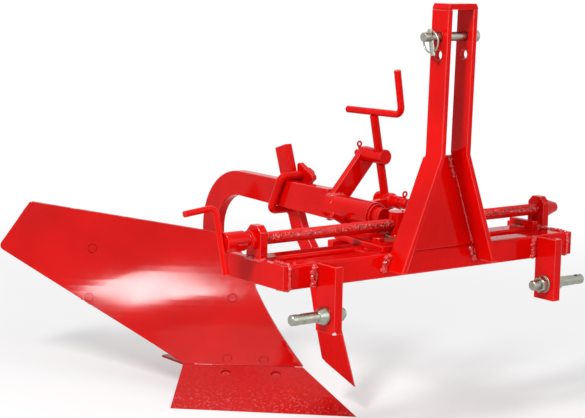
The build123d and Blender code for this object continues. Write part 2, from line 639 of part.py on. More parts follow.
def plough_beam():
    """Flat beam with its gooseneck and leg in one."""
    outer, inner = BEAM_RADII
    x = TILT_X - BEAM_WIDTH / 2
    y_bend, z_bend = BEAM_BEND_Y, BEAM_BEND_Z
    diagonal = sin(radians(45))

    def at(y, z):
        return (x, y, z)

    edges = [
        Line(at(COLLAR_REAR, BEAM_FOOT_FRONT), at(COLLAR_REAR, BEAM_TOP)),
        Line(at(COLLAR_REAR, BEAM_TOP), at(y_bend, BEAM_TOP)),
        ThreePointArc(at(y_bend, BEAM_TOP), at(y_bend + outer * diagonal, z_bend + outer * diagonal),
                      at(y_bend + outer, z_bend)),
        Line(at(y_bend + outer, z_bend), at(y_bend + outer, LEG_FOOT)),
        Line(at(y_bend + outer, LEG_FOOT), at(y_bend + inner, LEG_FOOT)),
        Line(at(y_bend + inner, LEG_FOOT), at(y_bend + inner, z_bend)),
        ThreePointArc(at(y_bend + inner, z_bend), at(y_bend + inner * diagonal, z_bend + inner * diagonal),
                      at(y_bend, z_bend + inner)),
        Line(at(y_bend, z_bend + inner), at(COLLAR_REAR, BEAM_FOOT_FRONT)),
    ]
    beam = extrude(make_face(edges), BEAM_WIDTH, dir=(1, 0, 0))
    for bolt_y in (y_bend + inner + 15, y_bend + outer - 15):
        beam -= rod((x - 1, bolt_y, 66), (x + BEAM_WIDTH + 1, bolt_y, 66), 8.2)
    return beam


def build_beam():
    parts["plough_beam"] = plough_beam()
    collar = rod((TILT_X, TUBE_REAR + 0.4, TILT_Z), (TILT_X, COLLAR_REAR, TILT_Z), SWIVEL_RADIUS)
    seat = rod((TILT_X, TUBE_REAR, TILT_Z), (TILT_X, COLLAR_REAR + 1, TILT_Z), SHAFT_RADIUS + 0.02)

    out, side = (cos(ARM_ANGLE), sin(ARM_ANGLE)), (-sin(ARM_ANGLE), cos(ARM_ANGLE))
    low_edge, high_edge, tip = -15, 28.9, 157

    def place(reach, offset):
        return (TILT_X + reach * out[0] + offset * side[0], TILT_Z + reach * out[1] + offset * side[1])

    arm_outline = [
        place(10, low_edge), place(tip - 10, low_edge), place(tip, low_edge + 10),
        place(tip, high_edge - 10), place(tip - 10, high_edge), place(10, high_edge),
    ]
    arm = cross_plate(arm_outline, TILT_ARM_Y)
    pin_hole = rod((UPPER_PIVOT[0], 200, UPPER_PIVOT[1]), (UPPER_PIVOT[0], 350, UPPER_PIVOT[1]),
                   PIVOT_PIN_RADIUS + RUNNING_FIT)
    whole_collar = rod((TILT_X, TUBE_REAR, TILT_Z), (TILT_X, COLLAR_REAR, TILT_Z), SWIVEL_RADIUS)
    parts["beam_collar"] = collar - seat
    parts["tilt_arm"] = arm - pin_hole - whole_collar

    def on_tube(y):
        return (TILT_X, y, TILT_Z)

    parts["swivel_shaft"] = rod(on_tube(SHAFT_FRONT), on_tube(COLLAR_REAR - 0.1), SHAFT_RADIUS)
    washer = rod(on_tube(TUBE_FRONT - 7), on_tube(TUBE_FRONT - 0.4), 25.5)
    parts["shaft_washer"] = washer - rod(on_tube(SHAFT_FRONT), on_tube(TUBE_FRONT), SHAFT_RADIUS + 0.02)

    # coulter clamp: one leg before the shank above the beam, one behind it below
    beam_x = (TILT_X - BEAM_WIDTH / 2, TILT_X + BEAM_WIDTH / 2)
    plate_x = (beam_x[1] + COULTER_THICKNESS + 0.6, beam_x[1] + COULTER_THICKNESS + 12.6)
    upper, lower = (470.5, BEAM_TOP + 10.5), (511, RAIL_FOOT + 65)
    wire = 9.4
    base_x = beam_x[0] - wire - 2
    tail_x = plate_x[1] + 20
    parts["coulter_u_bolt"] = bent_rod(
        [(tail_x, *upper), (base_x, *upper), (base_x, *lower), (tail_x, *lower)], wire, 15)
    lean = atan2(lower[0] - upper[0], upper[1] - lower[1])
    down, cross = (sin(lean), -cos(lean)), (cos(lean), sin(lean))

    def clamp_point(along, sideways):
        y = upper[0] + along * down[0] + sideways * cross[0]
        return (y, upper[1] + along * down[1] + sideways * cross[1])

    foot = hypot(lower[0] - upper[0], lower[1] - upper[1]) + 18
    # distance along the plate from its upper hole, width before the holes, width behind them
    sides = [(-20, 35, 20), (-16, 39.5, 24.5), (-12, 40.5, 25.5), (0, 34, 19), (foot, 34, 19)]
    outline = [clamp_point(along, -before) for along, before, _ in sides]
    outline += [clamp_point(along, behind) for along, _, behind in reversed(sides)]
    clamp = side_plate(outline, plate_x)
    nuts = []
    for y, z in (upper, lower):
        clamp -= rod((plate_x[0] - 1, y, z), (plate_x[1] + 1, y, z), wire + 0.5)
        nut = hexagon((plate_x[1], y, z), (plate_x[1] + 14, y, z), 27)
        nuts.append(nut - rod((plate_x[0], y, z), (plate_x[1] + 30, y, z), wire + 0.02))
    parts["coulter_clamp_plate"] = clamp
    parts["coulter_clamp_nuts"] = nuts


def build_coulter():
    """Knife coulter: straight shank, forward crank, then a widening blade cut off at a slant."""
    x0 = TILT_X + BEAM_WIDTH / 2 + 0.3
    up = RAIL_FOOT
    rake = sin(radians(COULTER_RAKE)) / cos(radians(COULTER_RAKE))
    shank_depth = COULTER_DEPTH / cos(radians(COULTER_RAKE))

    def rear(z):
        """Shank's rear edge at a height over the rails' underside."""
        return 491 + (z - 50) * rake

    edge_top, edge_foot = Vector(0, 398, up - 9), Vector(0, 254, up - 306)
    knife = side_plate([
        (rear(204), up + 204), (rear(50), up + 50), (479, up + 22), (455, up - 5), (443, up - 19),
        (406.5, up - 106), (355, up - 257), (edge_foot.Y, edge_foot.Z), (307, up - 185),
        (edge_top.Y, edge_top.Z), (411, up + 5), (434.6, up + 29), (rear(57) - shank_depth, up + 57),
        (rear(217) - shank_depth, up + 217),
    ], (x0, x0 + COULTER_THICKNESS))

    # the blade is ground from its left side down to a thin front edge
    edge, width = COULTER_EDGE
    down_edge = (edge_foot - edge_top).normalized()
    backward = Vector(0, -down_edge.Z, down_edge.Y)
    cut = COULTER_THICKNESS - edge
    profile = [(-30, cut), (0, cut), (width, -0.5), (-30, -0.5)]
    corners = [tuple(edge_top + backward * back + Vector(x0 + across, 0, 0)) for back, across in profile]
    grind = extrude(make_face(Polyline(*corners, close=True)), 420, dir=tuple(down_edge))
    knife -= grind
    front_y = (rear(57) + rear(217)) / 2 - shank_depth
    for x in (x0, x0 + COULTER_THICKNESS):
        middle = Vector(x, front_y, up + (57 + 217) / 2)
        corner = min(knife.edges(), key=lambda line: (line.center() - middle).length)
        knife = fillet(corner, COULTER_CORNER)
    parts["knife_coulter"] = knife


# ---------------------------------------------------------------- tilt screw
def build_tilt_screw():
    x_up, z_up = UPPER_PIVOT
    x_low, z_low = LOWER_PIVOT
    length = hypot(x_up - x_low, z_up - z_low)
    axis = ((x_up - x_low) / length, 0, (z_up - z_low) / length)

    def on_screw(distance):
        return (x_low + distance * axis[0], SCREW_Y, z_low + distance * axis[2])

    nut = rod((x_up, SCREW_Y - 21, z_up), (x_up, TILT_ARM_Y[0] - 0.4, z_up), NUT_RADIUS)
    nut -= rod(on_screw(length - 60), on_screw(length + 60), NUT_HOLE_RADIUS)
    nut += rod((x_up, SCREW_Y + 22, z_up), (x_up, 330, z_up), PIVOT_PIN_RADIUS)
    parts["nut_split_pin"] = split_pin((x_up, 321, z_up + PIVOT_PIN_RADIUS + 4), (1, 0))
    parts["tilt_nut"] = nut - parts["nut_split_pin"]

    head = 12.5
    foot = rod((x_low, SCREW_Y - 11.6, z_low), (x_low, SCREW_Y + 23, z_low), FOOT_RADIUS)
    foot += rod((x_low, 172, z_low), (x_low, SCREW_Y, z_low), PIVOT_PIN_RADIUS)
    foot += rod((x_low, 172, z_low), (x_low, SCREW_Y - 54.4, z_low), head)
    foot -= rod(on_screw(0), on_screw(60), SCREW_RADIUS + 0.02)
    parts["foot_split_pin"] = split_pin((x_low, 184, z_low + head), (1, 0))
    parts["screw_foot"] = foot - parts["foot_split_pin"]

    top = 194.5
    parts["tilt_screw"] = rod(on_screw(0), on_screw(top), SCREW_RADIUS)

    turn, back, front, grip_length, grip_lean, wire = radians(3.5), 84, 89, 99, 0.04, 7.8
    flat = Vector(sin(turn) * axis[2], -cos(turn), -sin(turn) * axis[0])
    centre = Vector(*on_screw(top + wire))
    bend = centre + flat * front
    grip = bend + (Vector(*axis) + flat * grip_lean) * grip_length
    parts["tilt_crank"] = bent_rod([tuple(centre - flat * back), tuple(bend), tuple(grip)], wire, 20)


# ---------------------------------------------------------------- build, move to the origin, write
def as_one(shape):
    """A node with several pieces becomes one compound of separate solids."""
    return Compound(shape) if isinstance(shape, list) else shape


def main():
    build_headstock()
    build_carriage()
    build_beam()
    build_coulter()
    build_tilt_screw()
    build_plough_bottom()

    box = Compound([as_one(shape) for shape in parts.values()]).bounding_box(optimal=True)
    shift = Pos(-(box.min.X + box.max.X) / 2, -(box.min.Y + box.max.Y) / 2, -box.min.Z)
    print("headstock middle sits at", shift.position)
    os.makedirs("parts", exist_ok=True)
    for name, shape in parts.items():
        export_step(as_one(shape).moved(shift), f"parts/{name}.step")


main()
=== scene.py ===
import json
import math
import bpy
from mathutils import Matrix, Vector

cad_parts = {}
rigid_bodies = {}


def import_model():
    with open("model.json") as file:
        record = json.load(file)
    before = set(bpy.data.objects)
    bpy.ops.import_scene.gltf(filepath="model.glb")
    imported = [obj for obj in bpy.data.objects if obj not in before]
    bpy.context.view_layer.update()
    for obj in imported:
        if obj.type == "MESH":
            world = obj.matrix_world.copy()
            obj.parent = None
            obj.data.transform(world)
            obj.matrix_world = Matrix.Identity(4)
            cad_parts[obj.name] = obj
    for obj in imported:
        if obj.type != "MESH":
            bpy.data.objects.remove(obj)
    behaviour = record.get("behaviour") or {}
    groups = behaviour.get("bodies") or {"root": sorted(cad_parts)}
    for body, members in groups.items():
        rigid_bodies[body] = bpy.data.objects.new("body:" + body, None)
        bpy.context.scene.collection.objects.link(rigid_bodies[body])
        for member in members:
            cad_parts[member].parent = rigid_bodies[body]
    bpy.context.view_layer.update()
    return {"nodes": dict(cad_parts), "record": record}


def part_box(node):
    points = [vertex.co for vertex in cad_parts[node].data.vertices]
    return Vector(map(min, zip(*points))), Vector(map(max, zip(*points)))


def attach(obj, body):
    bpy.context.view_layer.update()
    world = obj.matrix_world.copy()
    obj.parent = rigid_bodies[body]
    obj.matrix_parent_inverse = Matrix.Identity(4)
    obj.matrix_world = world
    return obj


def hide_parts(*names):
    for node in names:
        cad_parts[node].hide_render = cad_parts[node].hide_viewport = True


bl_info = {
    "name": "Moldboard Plough Finish",
    "version": (1, 0, 0),
    "blender": (4, 5, 0),
    "location": "3D View > Sidebar > Plough",
    "description": "Enamel, weld beads, threads and hardware of a single-furrow mounted plough",
    "category": "Object",
}

import bmesh
import bpy
from bpy.props import FloatProperty, FloatVectorProperty, IntProperty, PointerProperty
from mathutils import Matrix, Vector
from mathutils.bvhtree import BVHTree

for leftover in list(bpy.data.objects):
    bpy.data.objects.remove(leftover)
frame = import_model()

MM = 0.001

# the share's point and cutting edge, and the roll that the moldboard's face lies on; lengths in metres
SHARE_ANGLE = math.radians(47.3)  # of the cutting edge, from +Y
SHARE_TIP_INSET = 0.00758         # from the right side of the share's box to its point
ROLL_RADIUS = 0.45
ROLL_AXIS_FORWARD = 0.08887       # from the point
ROLL_AXIS_UP = 0.44695
ROLL_TOLERANCE = 0.0015           # points this near the roll are put back on it
HEAD_REACH = 0.004                # outline edges this near a bolt head belong to its hole

# how the weld lines are found, in metres
CONTACT_REACH = 0.0005            # an edge this near another node is welded to it
RIM_REACH = 0.0045                # depth of a node's rim
WELD_SAMPLE = 0.00125             # spacing of the points tried along an edge
JOIN_REACH = 0.0006               # ends this near make one line
SHORTEST_WELD = 0.006

# beads, spatter and threads
BEAD_STEP = 1.3 * MM
SPATTER_REACH = 22 * MM
SPATTER_RADIUS = 0.9 * MM
PER_SQUARE_CENTIMETRE = 1e4       # in a square metre
CREST_INSET = 0.03 * MM           # of a cut thread inside its plain bar

# what the finishes need to know of the shapes
GRIND_LEAN = math.radians(22)     # of the knife's grinding marks, from upright
EDGE_MARK = "broken_edge"         # face attribute: one on broken edges
BOLT_RING = (11.3, 0.9)           # painted shade ring round a flush bolt head: radius and half width, in millimetres
BODY_OF = {node: body for body, nodes in frame["record"]["behaviour"]["bodies"].items() for node in nodes}


# ---------------------------------------------------------------- small helpers
def linear(hex_colour):
    """sRGB hex value as a linear colour with full alpha."""
    channels = [int(hex_colour[i:i + 2], 16) / 255 for i in (1, 3, 5)]
    return tuple(c / 12.92 if c <= 0.04045 else ((c + 0.055) / 1.055) ** 2.4 for c in channels) + (1.0,)


def add_node(tree, kind, inputs=None, **settings):
    """A node with its settings; its inputs take a value or another node's output socket."""
    node = tree.nodes.new(kind)
    for name, value in settings.items():
        setattr(node, name, value)
    for name, value in (inputs or {}).items():
        socket = node.inputs[name]
        if isinstance(value, bpy.types.NodeSocket):
            tree.links.new(value, socket)
        else:
            socket.default_value = value
    return node


def new_material(name, base):
    """Material with one Principled shader, its output and the object's own coordinates."""
    material = bpy.data.materials.new(name)
    material.use_nodes = True
    material.diffuse_color = base
    tree = material.node_tree
    tree.nodes.clear()
    shader = add_node(tree, "ShaderNodeBsdfPrincipled", {"Base Color": base})
    output = add_node(tree, "ShaderNodeOutputMaterial", {"Surface": shader.outputs[0]})
    output.location.x = 300
    place = add_node(tree, "ShaderNodeTexCoord").outputs["Object"]
    return material, tree, shader, place


def noise(tree, place, size_mm, detail=3.0, roughness=0.5, stretch=None):
    """Noise value whose cells are about size_mm across; stretch lengthens them along axes."""
    if stretch:
        place = add_node(tree, "ShaderNodeMapping", {"Vector": place, "Scale": stretch}).outputs[0]
    found = add_node(tree, "ShaderNodeTexNoise", {
        "Vector": place, "Scale": 1 / (size_mm * MM), "Detail": detail, "Roughness": roughness})
    return found.outputs[0]


def ramp(tree, value, low, high, low_result=0.0, high_result=1.0):
    """Value mapped from one range to another and held at its ends."""
    return add_node(tree, "ShaderNodeMapRange", {
        "Value": value, "From Min": low, "From Max": high,
        "To Min": low_result, "To Max": high_result}).outputs[0]


def mix_colour(tree, factor, first, second):
    """The first colour turned to the second as the factor goes from zero to one."""
    node = add_node(tree, "ShaderNodeMix", data_type="RGBA")
    for name, value in (("Factor", factor), ("A", first), ("B", second)):
        socket = [s for s in node.inputs if s.name == name and s.enabled][0]
        if isinstance(value, bpy.types.NodeSocket):
            tree.links.new(value, socket)
        else:
            socket.default_value = value
    return [s for s in node.outputs if s.enabled][0]


def maths(tree, operation, *values):
    return add_node(tree, "ShaderNodeMath", dict(enumerate(values)), operation=operation).outputs[0]


def bump(tree, value, height_mm, strength=1.0, under=None):
    """Normals of a surface as high as the value, on top of any other bumps under it."""
    inputs = {"Height": value, "Distance": height_mm * MM, "Strength": strength}
    if under is not None:
        inputs["Normal"] = under
    return add_node(tree, "ShaderNodeBump", inputs).outputs[0]


def parts_of(material):
    """A material's tree, shader and object coordinates, for a finish that adds to it."""
    nodes = material.node_tree.nodes
    shader = next(node for node in nodes if node.type == "BSDF_PRINCIPLED")
    place = next(node for node in nodes if node.type == "TEX_COORD").outputs["Object"]
    return material.node_tree, shader, place


def linked_to(shader, name):
    """The socket that one of a shader's inputs is linked to."""
    return shader.inputs[name].links[0].from_socket


def distance(tree, place, point):
    """Distance of each place from a point."""
    apart = add_node(tree, "ShaderNodeVectorMath", {0: place, 1: tuple(point)}, operation="DISTANCE")
    return apart.outputs["Value"]


def height_of(tree, place):
    """Height of each place above the ground."""
    return add_node(tree, "ShaderNodeSeparateXYZ", {"Vector": place}).outputs["Z"]


# ---------------------------------------------------------------- materials
def near(tree, place, point, radius_mm, rough_mm=0.0, grain_mm=3.0):
    """One close to a point and zero beyond a radius, its border broken up by noise."""
    gap = distance(tree, place, point)
    if rough_mm:
        ragged = maths(tree, "SUBTRACT", noise(tree, place, grain_mm, 3, 0.6), 0.5)
        gap = maths(tree, "ADD", gap, maths(tree, "MULTIPLY", ragged, rough_mm * 2 * MM))
    return ramp(tree, gap, radius_mm * 1.08 * MM, radius_mm * 0.92 * MM)


def gloss_enamel(settings, name="gloss_enamel_red", shine=None, colours=None, satin=1.0):
    """Air-sprayed alkyd enamel over hot-rolled steel: wet gloss with fine orange peel, a deeper red
    where the film is thick, and brighter edges where it is pulled tight. satin scales the roughness."""
    base, deep = colours or (tuple(settings.enamel), tuple(settings.enamel_deep))
    material, tree, shader, place = new_material(name, base)
    cloud = noise(tree, place, 140, 2)
    film = mix_colour(tree, ramp(tree, cloud, 0.35, 0.7), base, deep)
    tree.links.new(film, shader.inputs["Base Color"])
    dull = settings.enamel_roughness * satin
    sheen = ramp(tree, noise(tree, place, 35, 3), 0.3, 0.7, dull * 0.8, dull * 1.3)
    tree.links.new(sheen, shader.inputs["Roughness"])
    waves = bump(tree, noise(tree, place, 34, 2), 0.25, 0.3)
    peel = bump(tree, noise(tree, place, 2.6, 2), 0.05, 0.5, waves)
    tree.links.new(peel, shader.inputs["Normal"])
    edge = add_node(tree, "ShaderNodeAttribute", attribute_name=EDGE_MARK).outputs["Fac"]
    shine = ramp(tree, edge, 0, 1, shine or settings.enamel_shine, settings.edge_shine)
    tree.links.new(shine, shader.inputs["Specular IOR Level"])
    return material


def bolt_rings(tree, place):
    """One in a thin ring of painted shade round the flush bolt heads, zero elsewhere."""
    gap = None
    for centre in bolt_heads():
        away = distance(tree, place, centre)
        gap = away if gap is None else maths(tree, "MINIMUM", gap, away)
    radius, half_width = BOLT_RING
    off = maths(tree, "ABSOLUTE", maths(tree, "SUBTRACT", gap, radius * MM))
    return ramp(tree, off, half_width * MM, half_width * 0.5 * MM)


def painted_ring_shade(material, settings):
    """The material with painted shade in a thin dark ring round every flush bolt head."""
    tree, shader, place = parts_of(material)
    film = linked_to(shader, "Base Color")
    # painted shade: a dark ring standing for the shade in the groove between each bolt head and its hole
    ring_shade_mask = maths(tree, "MULTIPLY", bolt_rings(tree, place), 0.75)
    film = mix_colour(tree, ring_shade_mask, film, tuple(settings.thin_paint_and_shade))
    tree.links.new(film, shader.inputs["Base Color"])
    return material


def moldboard_enamel(settings):
    """The same enamel flowed on thicker over the ground working face, so it mirrors more. The face is
    wound a little towards the wing, which its smooth waves stand for."""
    # darker reds: painted shade on a face that turns up to the key light
    colours = (tuple(settings.face_red_and_shade), tuple(settings.face_deep_red_and_shade))
    material = gloss_enamel(settings, "gloss_enamel_red_moldboard", settings.moldboard_shine, colours, 1.7)
    tree, shader, place = parts_of(material)
    low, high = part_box("moldboard")
    apart = add_node(tree, "ShaderNodeSeparateXYZ", {"Vector": place}).outputs
    along = ramp(tree, apart["X"], low.x + settings.wind_from, low.x)
    wind = maths(tree, "MULTIPLY", maths(tree, "MULTIPLY", along, along), settings.wind)
    lift = maths(tree, "MULTIPLY", maths(tree, "SUBTRACT", apart["Z"], (low.z + high.z) / 2), wind)
    under = linked_to(shader, "Normal")
    tree.links.new(bump(tree, lift, 1 / MM, 1.0, under), shader.inputs["Normal"])
    return painted_ring_shade(material, settings)


def ground_enamel(settings):
    """The same enamel over a ground knife, the grinding marks running down the blade."""
    material = gloss_enamel(settings, name="gloss_enamel_red_ground")
    tree, shader, place = parts_of(material)
    down_blade = add_node(tree, "ShaderNodeMapping", {
        "Vector": place, "Rotation": (-GRIND_LEAN, 0, 0), "Scale": (1, 1, 14)}, vector_type="TEXTURE")
    marks = noise(tree, down_blade.outputs[0], 2.6, 3, 0.6)
    under = linked_to(shader, "Normal")
    tree.links.new(bump(tree, marks, 0.5, 0.5, under), shader.inputs["Normal"])
    film = linked_to(shader, "Base Color")
    film = mix_colour(tree, ramp(tree, marks, 0.5, 0.7, 0.0, 0.5), film, tuple(settings.thin_paint_and_shade))
    tree.links.new(film, shader.inputs["Base Color"])
    return material


def chipped_enamel(settings):
    """The gloss enamel with what happened to it since: a corner knocked bare, a scuff on the tower's foot
    and a darker brown, rougher patch on the carriage plate beside the nut post, under the spindle."""
    material = gloss_enamel(settings, name="gloss_enamel_red_chipped")
    tree, shader, place = parts_of(material)
    film = linked_to(shader, "Base Color")
    low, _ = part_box("left_link_bracket")
    chips = near(tree, place, (low.x + 1 * MM, low.y, low.z), radius_mm=5.5, rough_mm=2.5)
    low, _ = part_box("left_mast_leg")
    scuff = near(tree, place, (low.x + 61 * MM, low.y, low.z + 190 * MM), radius_mm=2.2, rough_mm=1.5)
    bare_steel = linear("#D9D2CC")
    film = mix_colour(tree, maths(tree, "MAXIMUM", chips, scuff), film, bare_steel)
    # a darker brown, rougher patch beside the nut post, where the plate lies under the spindle
    low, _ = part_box("spindle_nut_post")
    brown_patch = near(tree, place, (low.x - 14 * MM, low.y + 4 * MM, low.z), radius_mm=30, rough_mm=12, grain_mm=9)
    brown_patch = maths(tree, "MULTIPLY", brown_patch, 0.75)
    dark_brown_patch = linear("#7A4A34")
    film = mix_colour(tree, brown_patch, film, dark_brown_patch)
    tree.links.new(film, shader.inputs["Base Color"])
    sheen = maths(tree, "MAXIMUM", linked_to(shader, "Roughness"), brown_patch)
    tree.links.new(sheen, shader.inputs["Roughness"])
    return material


def weld_enamel(settings):
    """The enamel pulled thin and wet over rough weld metal, every ripple with its own glint."""
    base = tuple(settings.enamel)
    material, tree, shader, place = new_material("enamel_over_weld", base)
    crust = noise(tree, place, 7, 2, 0.5)
    film = mix_colour(tree, ramp(tree, crust, 0.42, 0.66), tuple(settings.enamel_deep), base)
    tree.links.new(film, shader.inputs["Base Color"])
    shader.inputs["Roughness"].default_value = 0.03
    shader.inputs["Specular IOR Level"].default_value = 0.75
    tree.links.new(bump(tree, crust, 0.9, 0.7), shader.inputs["Normal"])
    return material


def share_enamel(settings):
    """The same enamel over a rough, shot-blasted share: hammered skin, with pale specks low down as painted
    highlights.
    """
    base = tuple(settings.face_red_and_shade)
    material, tree, shader, place = new_material("hammered_enamel_red", base)
    cells = add_node(tree, "ShaderNodeTexVoronoi", {
        "Vector": place, "Scale": 1 / (6.5 * MM), "Randomness": 1.0}, feature="SMOOTH_F1").outputs["Distance"]
    pits = noise(tree, place, 6.5, 3, 0.6)
    height = height_of(tree, place)
    drift = maths(tree, "MULTIPLY", maths(tree, "SUBTRACT", noise(tree, place, 60, 2), 0.5), 0.03)
    low_down = ramp(tree, maths(tree, "ADD", height, drift), 0.045, 0.01)
    # pale specks low on the share are painted highlights: the glints of light on its rough skin
    specks = ramp(tree, pits, 0.57, 0.64)
    pale = maths(tree, "MULTIPLY", specks, maths(tree, "MULTIPLY", low_down, 0.16))
    painted_highlight_pink = linear("#F0A39C")
    film = mix_colour(tree, ramp(tree, cells, 0.2, 0.7), tuple(settings.face_deep_red_and_shade), base)
    film = mix_colour(tree, pale, film, painted_highlight_pink)
    tree.links.new(film, shader.inputs["Base Color"])
    shader.inputs["Roughness"].default_value = 0.2
    shader.inputs["Specular IOR Level"].default_value = 0.14
    skin = bump(tree, cells, 0.6, 0.6)
    skin = bump(tree, pits, 0.9, 0.8, skin)
    tree.links.new(skin, shader.inputs["Normal"])
    return painted_ring_shade(material, settings)


def thread_enamel(settings):
    """The enamel over a cut thread: darker red in blotches, and pale flecks that are painted highlights of
    the light glinting on its crests, both in a band on its upper side."""
    base = tuple(settings.enamel)
    material, tree, shader, place = new_material("thread_enamel_red", base)
    low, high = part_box("offset_spindle")
    height = height_of(tree, place)
    over = maths(tree, "DIVIDE", maths(tree, "SUBTRACT", height, (low.z + high.z) / 2), (high.z - low.z) / 2)
    side = ramp(tree, maths(tree, "ABSOLUTE", maths(tree, "SUBTRACT", over, 0.3)), 0.55, 0.25)
    blotch = ramp(tree, noise(tree, place, 9, 4, 0.6), 0.4, 0.62, 0.15, 0.9)
    film = mix_colour(tree, maths(tree, "MULTIPLY", side, blotch), base, tuple(settings.thin_paint_and_shade))
    # pale flecks on the upper side: painted highlights, the light glinting on the thread's crests
    crest_highlight_mask = ramp(tree, noise(tree, place, 2.6, 3, 0.65), 0.56, 0.61)
    crest_highlight_mask = maths(tree, "MULTIPLY", crest_highlight_mask, maths(tree, "MULTIPLY", side, 0.7))
    painted_crest_highlight = linear("#F2C4BF")
    film = mix_colour(tree, crest_highlight_mask, film, painted_crest_highlight)
    tree.links.new(film, shader.inputs["Base Color"])
    shader.inputs["Roughness"].default_value = 0.12
    shader.inputs["Specular IOR Level"].default_value = 0.2
    tree.links.new(bump(tree, noise(tree, place, 3.0, 3), 0.6, 0.7), shader.inputs["Normal"])
    return material


def turned_steel(settings):
    """Turned carbon steel with a clear zinc coat: greenish grey with fine circumferential tool marks."""
    base = tuple(settings.steel)
    material, tree, shader, place = new_material("zinc_plated_steel", base)
    cloud = noise(tree, place, 12, 4, 0.6)
    tint = mix_colour(tree, ramp(tree, cloud, 0.35, 0.7), base, linear("#8F9187"))
    grime = ramp(tree, noise(tree, place, 5, 4, 0.7), 0.6, 0.72)
    tint = mix_colour(tree, maths(tree, "MULTIPLY", grime, 0.5), tint, linear("#4E4B42"))
    tree.links.new(tint, shader.inputs["Base Color"])
    shader.inputs["Metallic"].default_value = 1.0
    tree.links.new(ramp(tree, cloud, 0.3, 0.7, 0.24, 0.42), shader.inputs["Roughness"])
    marks = noise(tree, place, 0.9, 2, 0.6, stretch=(1.0, 0.06, 0.06))
    tree.links.new(bump(tree, marks, 0.06, 0.5), shader.inputs["Normal"])
    return material


def studio_floor(settings):
    """Matt pale paper sweep that fades into the white surround."""
    base = tuple(settings.floor)
    material, tree, shader, place = new_material("pale_paper_sweep", base)
    shader.inputs["Roughness"].default_value = 0.9
    shader.inputs["Specular IOR Level"].default_value = 0.1
    reach = add_node(tree, "ShaderNodeVectorMath", {0: place}, operation="LENGTH").outputs["Value"]
    white = add_node(tree, "ShaderNodeEmission", {"Color": (1, 1, 1, 1), "Strength": 1.0}).outputs[0]
    path = add_node(tree, "ShaderNodeLightPath").outputs
    seen = maths(tree, "MAXIMUM", path["Is Camera Ray"], path["Is Glossy Ray"])
    fade_from = settings.floor_fade * 0.3
    far = ramp(tree, reach, fade_from, settings.floor_fade, settings.floor_white, 1.0)
    far = maths(tree, "MULTIPLY", far, seen)
    sweep = add_node(tree, "ShaderNodeMixShader", {0: far, 1: shader.outputs[0], 2: white}).outputs[0]
    output = [n for n in tree.nodes if n.type == "OUTPUT_MATERIAL"][0]
    tree.links.new(sweep, output.inputs["Surface"])
    return material


MATERIALS = {}


def finish_of(name):
    """The plough's finishes, made once from the sidebar's colours."""
    makers = {
        "enamel": gloss_enamel, "moldboard": moldboard_enamel, "ground": ground_enamel,
        "chipped": chipped_enamel, "weld": weld_enamel, "share": share_enamel, "thread": thread_enamel,
        "steel": turned_steel,
    }
    if name not in MATERIALS:
        MATERIALS[name] = makers[name](bpy.context.scene.plough_paint)
    return MATERIALS[name]


# ---------------------------------------------------------------- mesh helpers
def merged_copy(node):
    """A CAD node's triangles merged into a closed mesh, flat areas made into single faces."""
    bm = bmesh.new()
    bm.from_mesh(frame["nodes"][node].data)
    bmesh.ops.remove_doubles(bm, verts=bm.verts, dist=1e-6)
    bmesh.ops.dissolve_limit(bm, angle_limit=math.radians(0.5), verts=bm.verts, edges=bm.edges, delimit=set())
    return bm


def bolt_heads():
    """Centres of the flush bolt heads: the point of each bolt that is foremost, on its axis."""
    bm = merged_copy("face_bolts")
    _, _, forward = furrow_axes()
    outward = Vector((0, 0, 1)) + forward
    head_depth = 24 * MM
    centres, left = [], set(bm.verts)
    while left:
        island, ahead = set(), [left.pop()]
        while ahead:
            vertex = ahead.pop()
            island.add(vertex)
            for edge in vertex.link_edges:
                other = edge.other_vert(vertex)
                if other in left:
                    left.discard(other)
                    ahead.append(other)
        reach = max(v.co.dot(outward) for v in island)
        rim = [v.co for v in island if v.co.dot(outward) > reach - head_depth]
        centres.append(tuple(sum(rim, Vector()) / len(rim)))
    bm.free()
    return centres


def object_from(bm, name):
    """A new object with the mesh, which is used up."""
    mesh = bpy.data.meshes.new(name)
    bm.to_mesh(mesh)
    bm.free()
    made = bpy.data.objects.new(name, mesh)
    bpy.context.scene.collection.objects.link(made)
    return made


def baked(made):
    """The object with its modifiers turned into a plain mesh."""
    bpy.context.view_layer.update()
    evaluated = made.evaluated_get(bpy.context.evaluated_depsgraph_get())
    mesh = bpy.data.meshes.new_from_object(evaluated)
    made.modifiers.clear()
    made.data = mesh
    return made


def rounded(made, width_mm, marked=False):
    """Sharp edges, or only the marked ones, broken to a small radius, and marked for the enamel. Flat faces
    stay flat in their shading."""
    bevel = made.modifiers.new("broken_edges", "BEVEL")
    bevel.width = width_mm * MM
    bevel.segments = 2
    bevel.limit_method = "WEIGHT" if marked else "ANGLE"
    bevel.angle_limit = math.radians(30)
    bevel.use_clamp_overlap = False
    bevel.material = 1
    bevel.miter_outer = "MITER_ARC"
    for face in made.data.polygons:
        face.use_smooth = True
    for _ in range(2):
        made.data.materials.append(None)
    made.data.set_sharp_from_angle(angle=math.radians(40))
    weighted = made.modifiers.new("flat_shading", "WEIGHTED_NORMAL")
    weighted.keep_sharp = True
    made = baked(made)
    edges = made.data.attributes.new(EDGE_MARK, "FLOAT", "FACE")
    edges.data.foreach_set("value", [float(face.material_index == 1) for face in made.data.polygons])
    for face in made.data.polygons:
        face.material_index = 0
    return made


def finish_piece(made, body, coat, nodes=()):
    """Coat a piece, ride it on its body and let it stand for its CAD nodes."""
    made.data.materials.clear()
    made.data.materials.append(finish_of(coat))
    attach(made, body)
    if nodes:
        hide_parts(*nodes)


def finished_node(node, width_mm, coat="enamel"):
    """A CAD node with its edges broken, coated."""
    made = rounded(object_from(merged_copy(node), "finished_" + node), width_mm)
    finish_piece(made, BODY_OF[node], coat, [node])


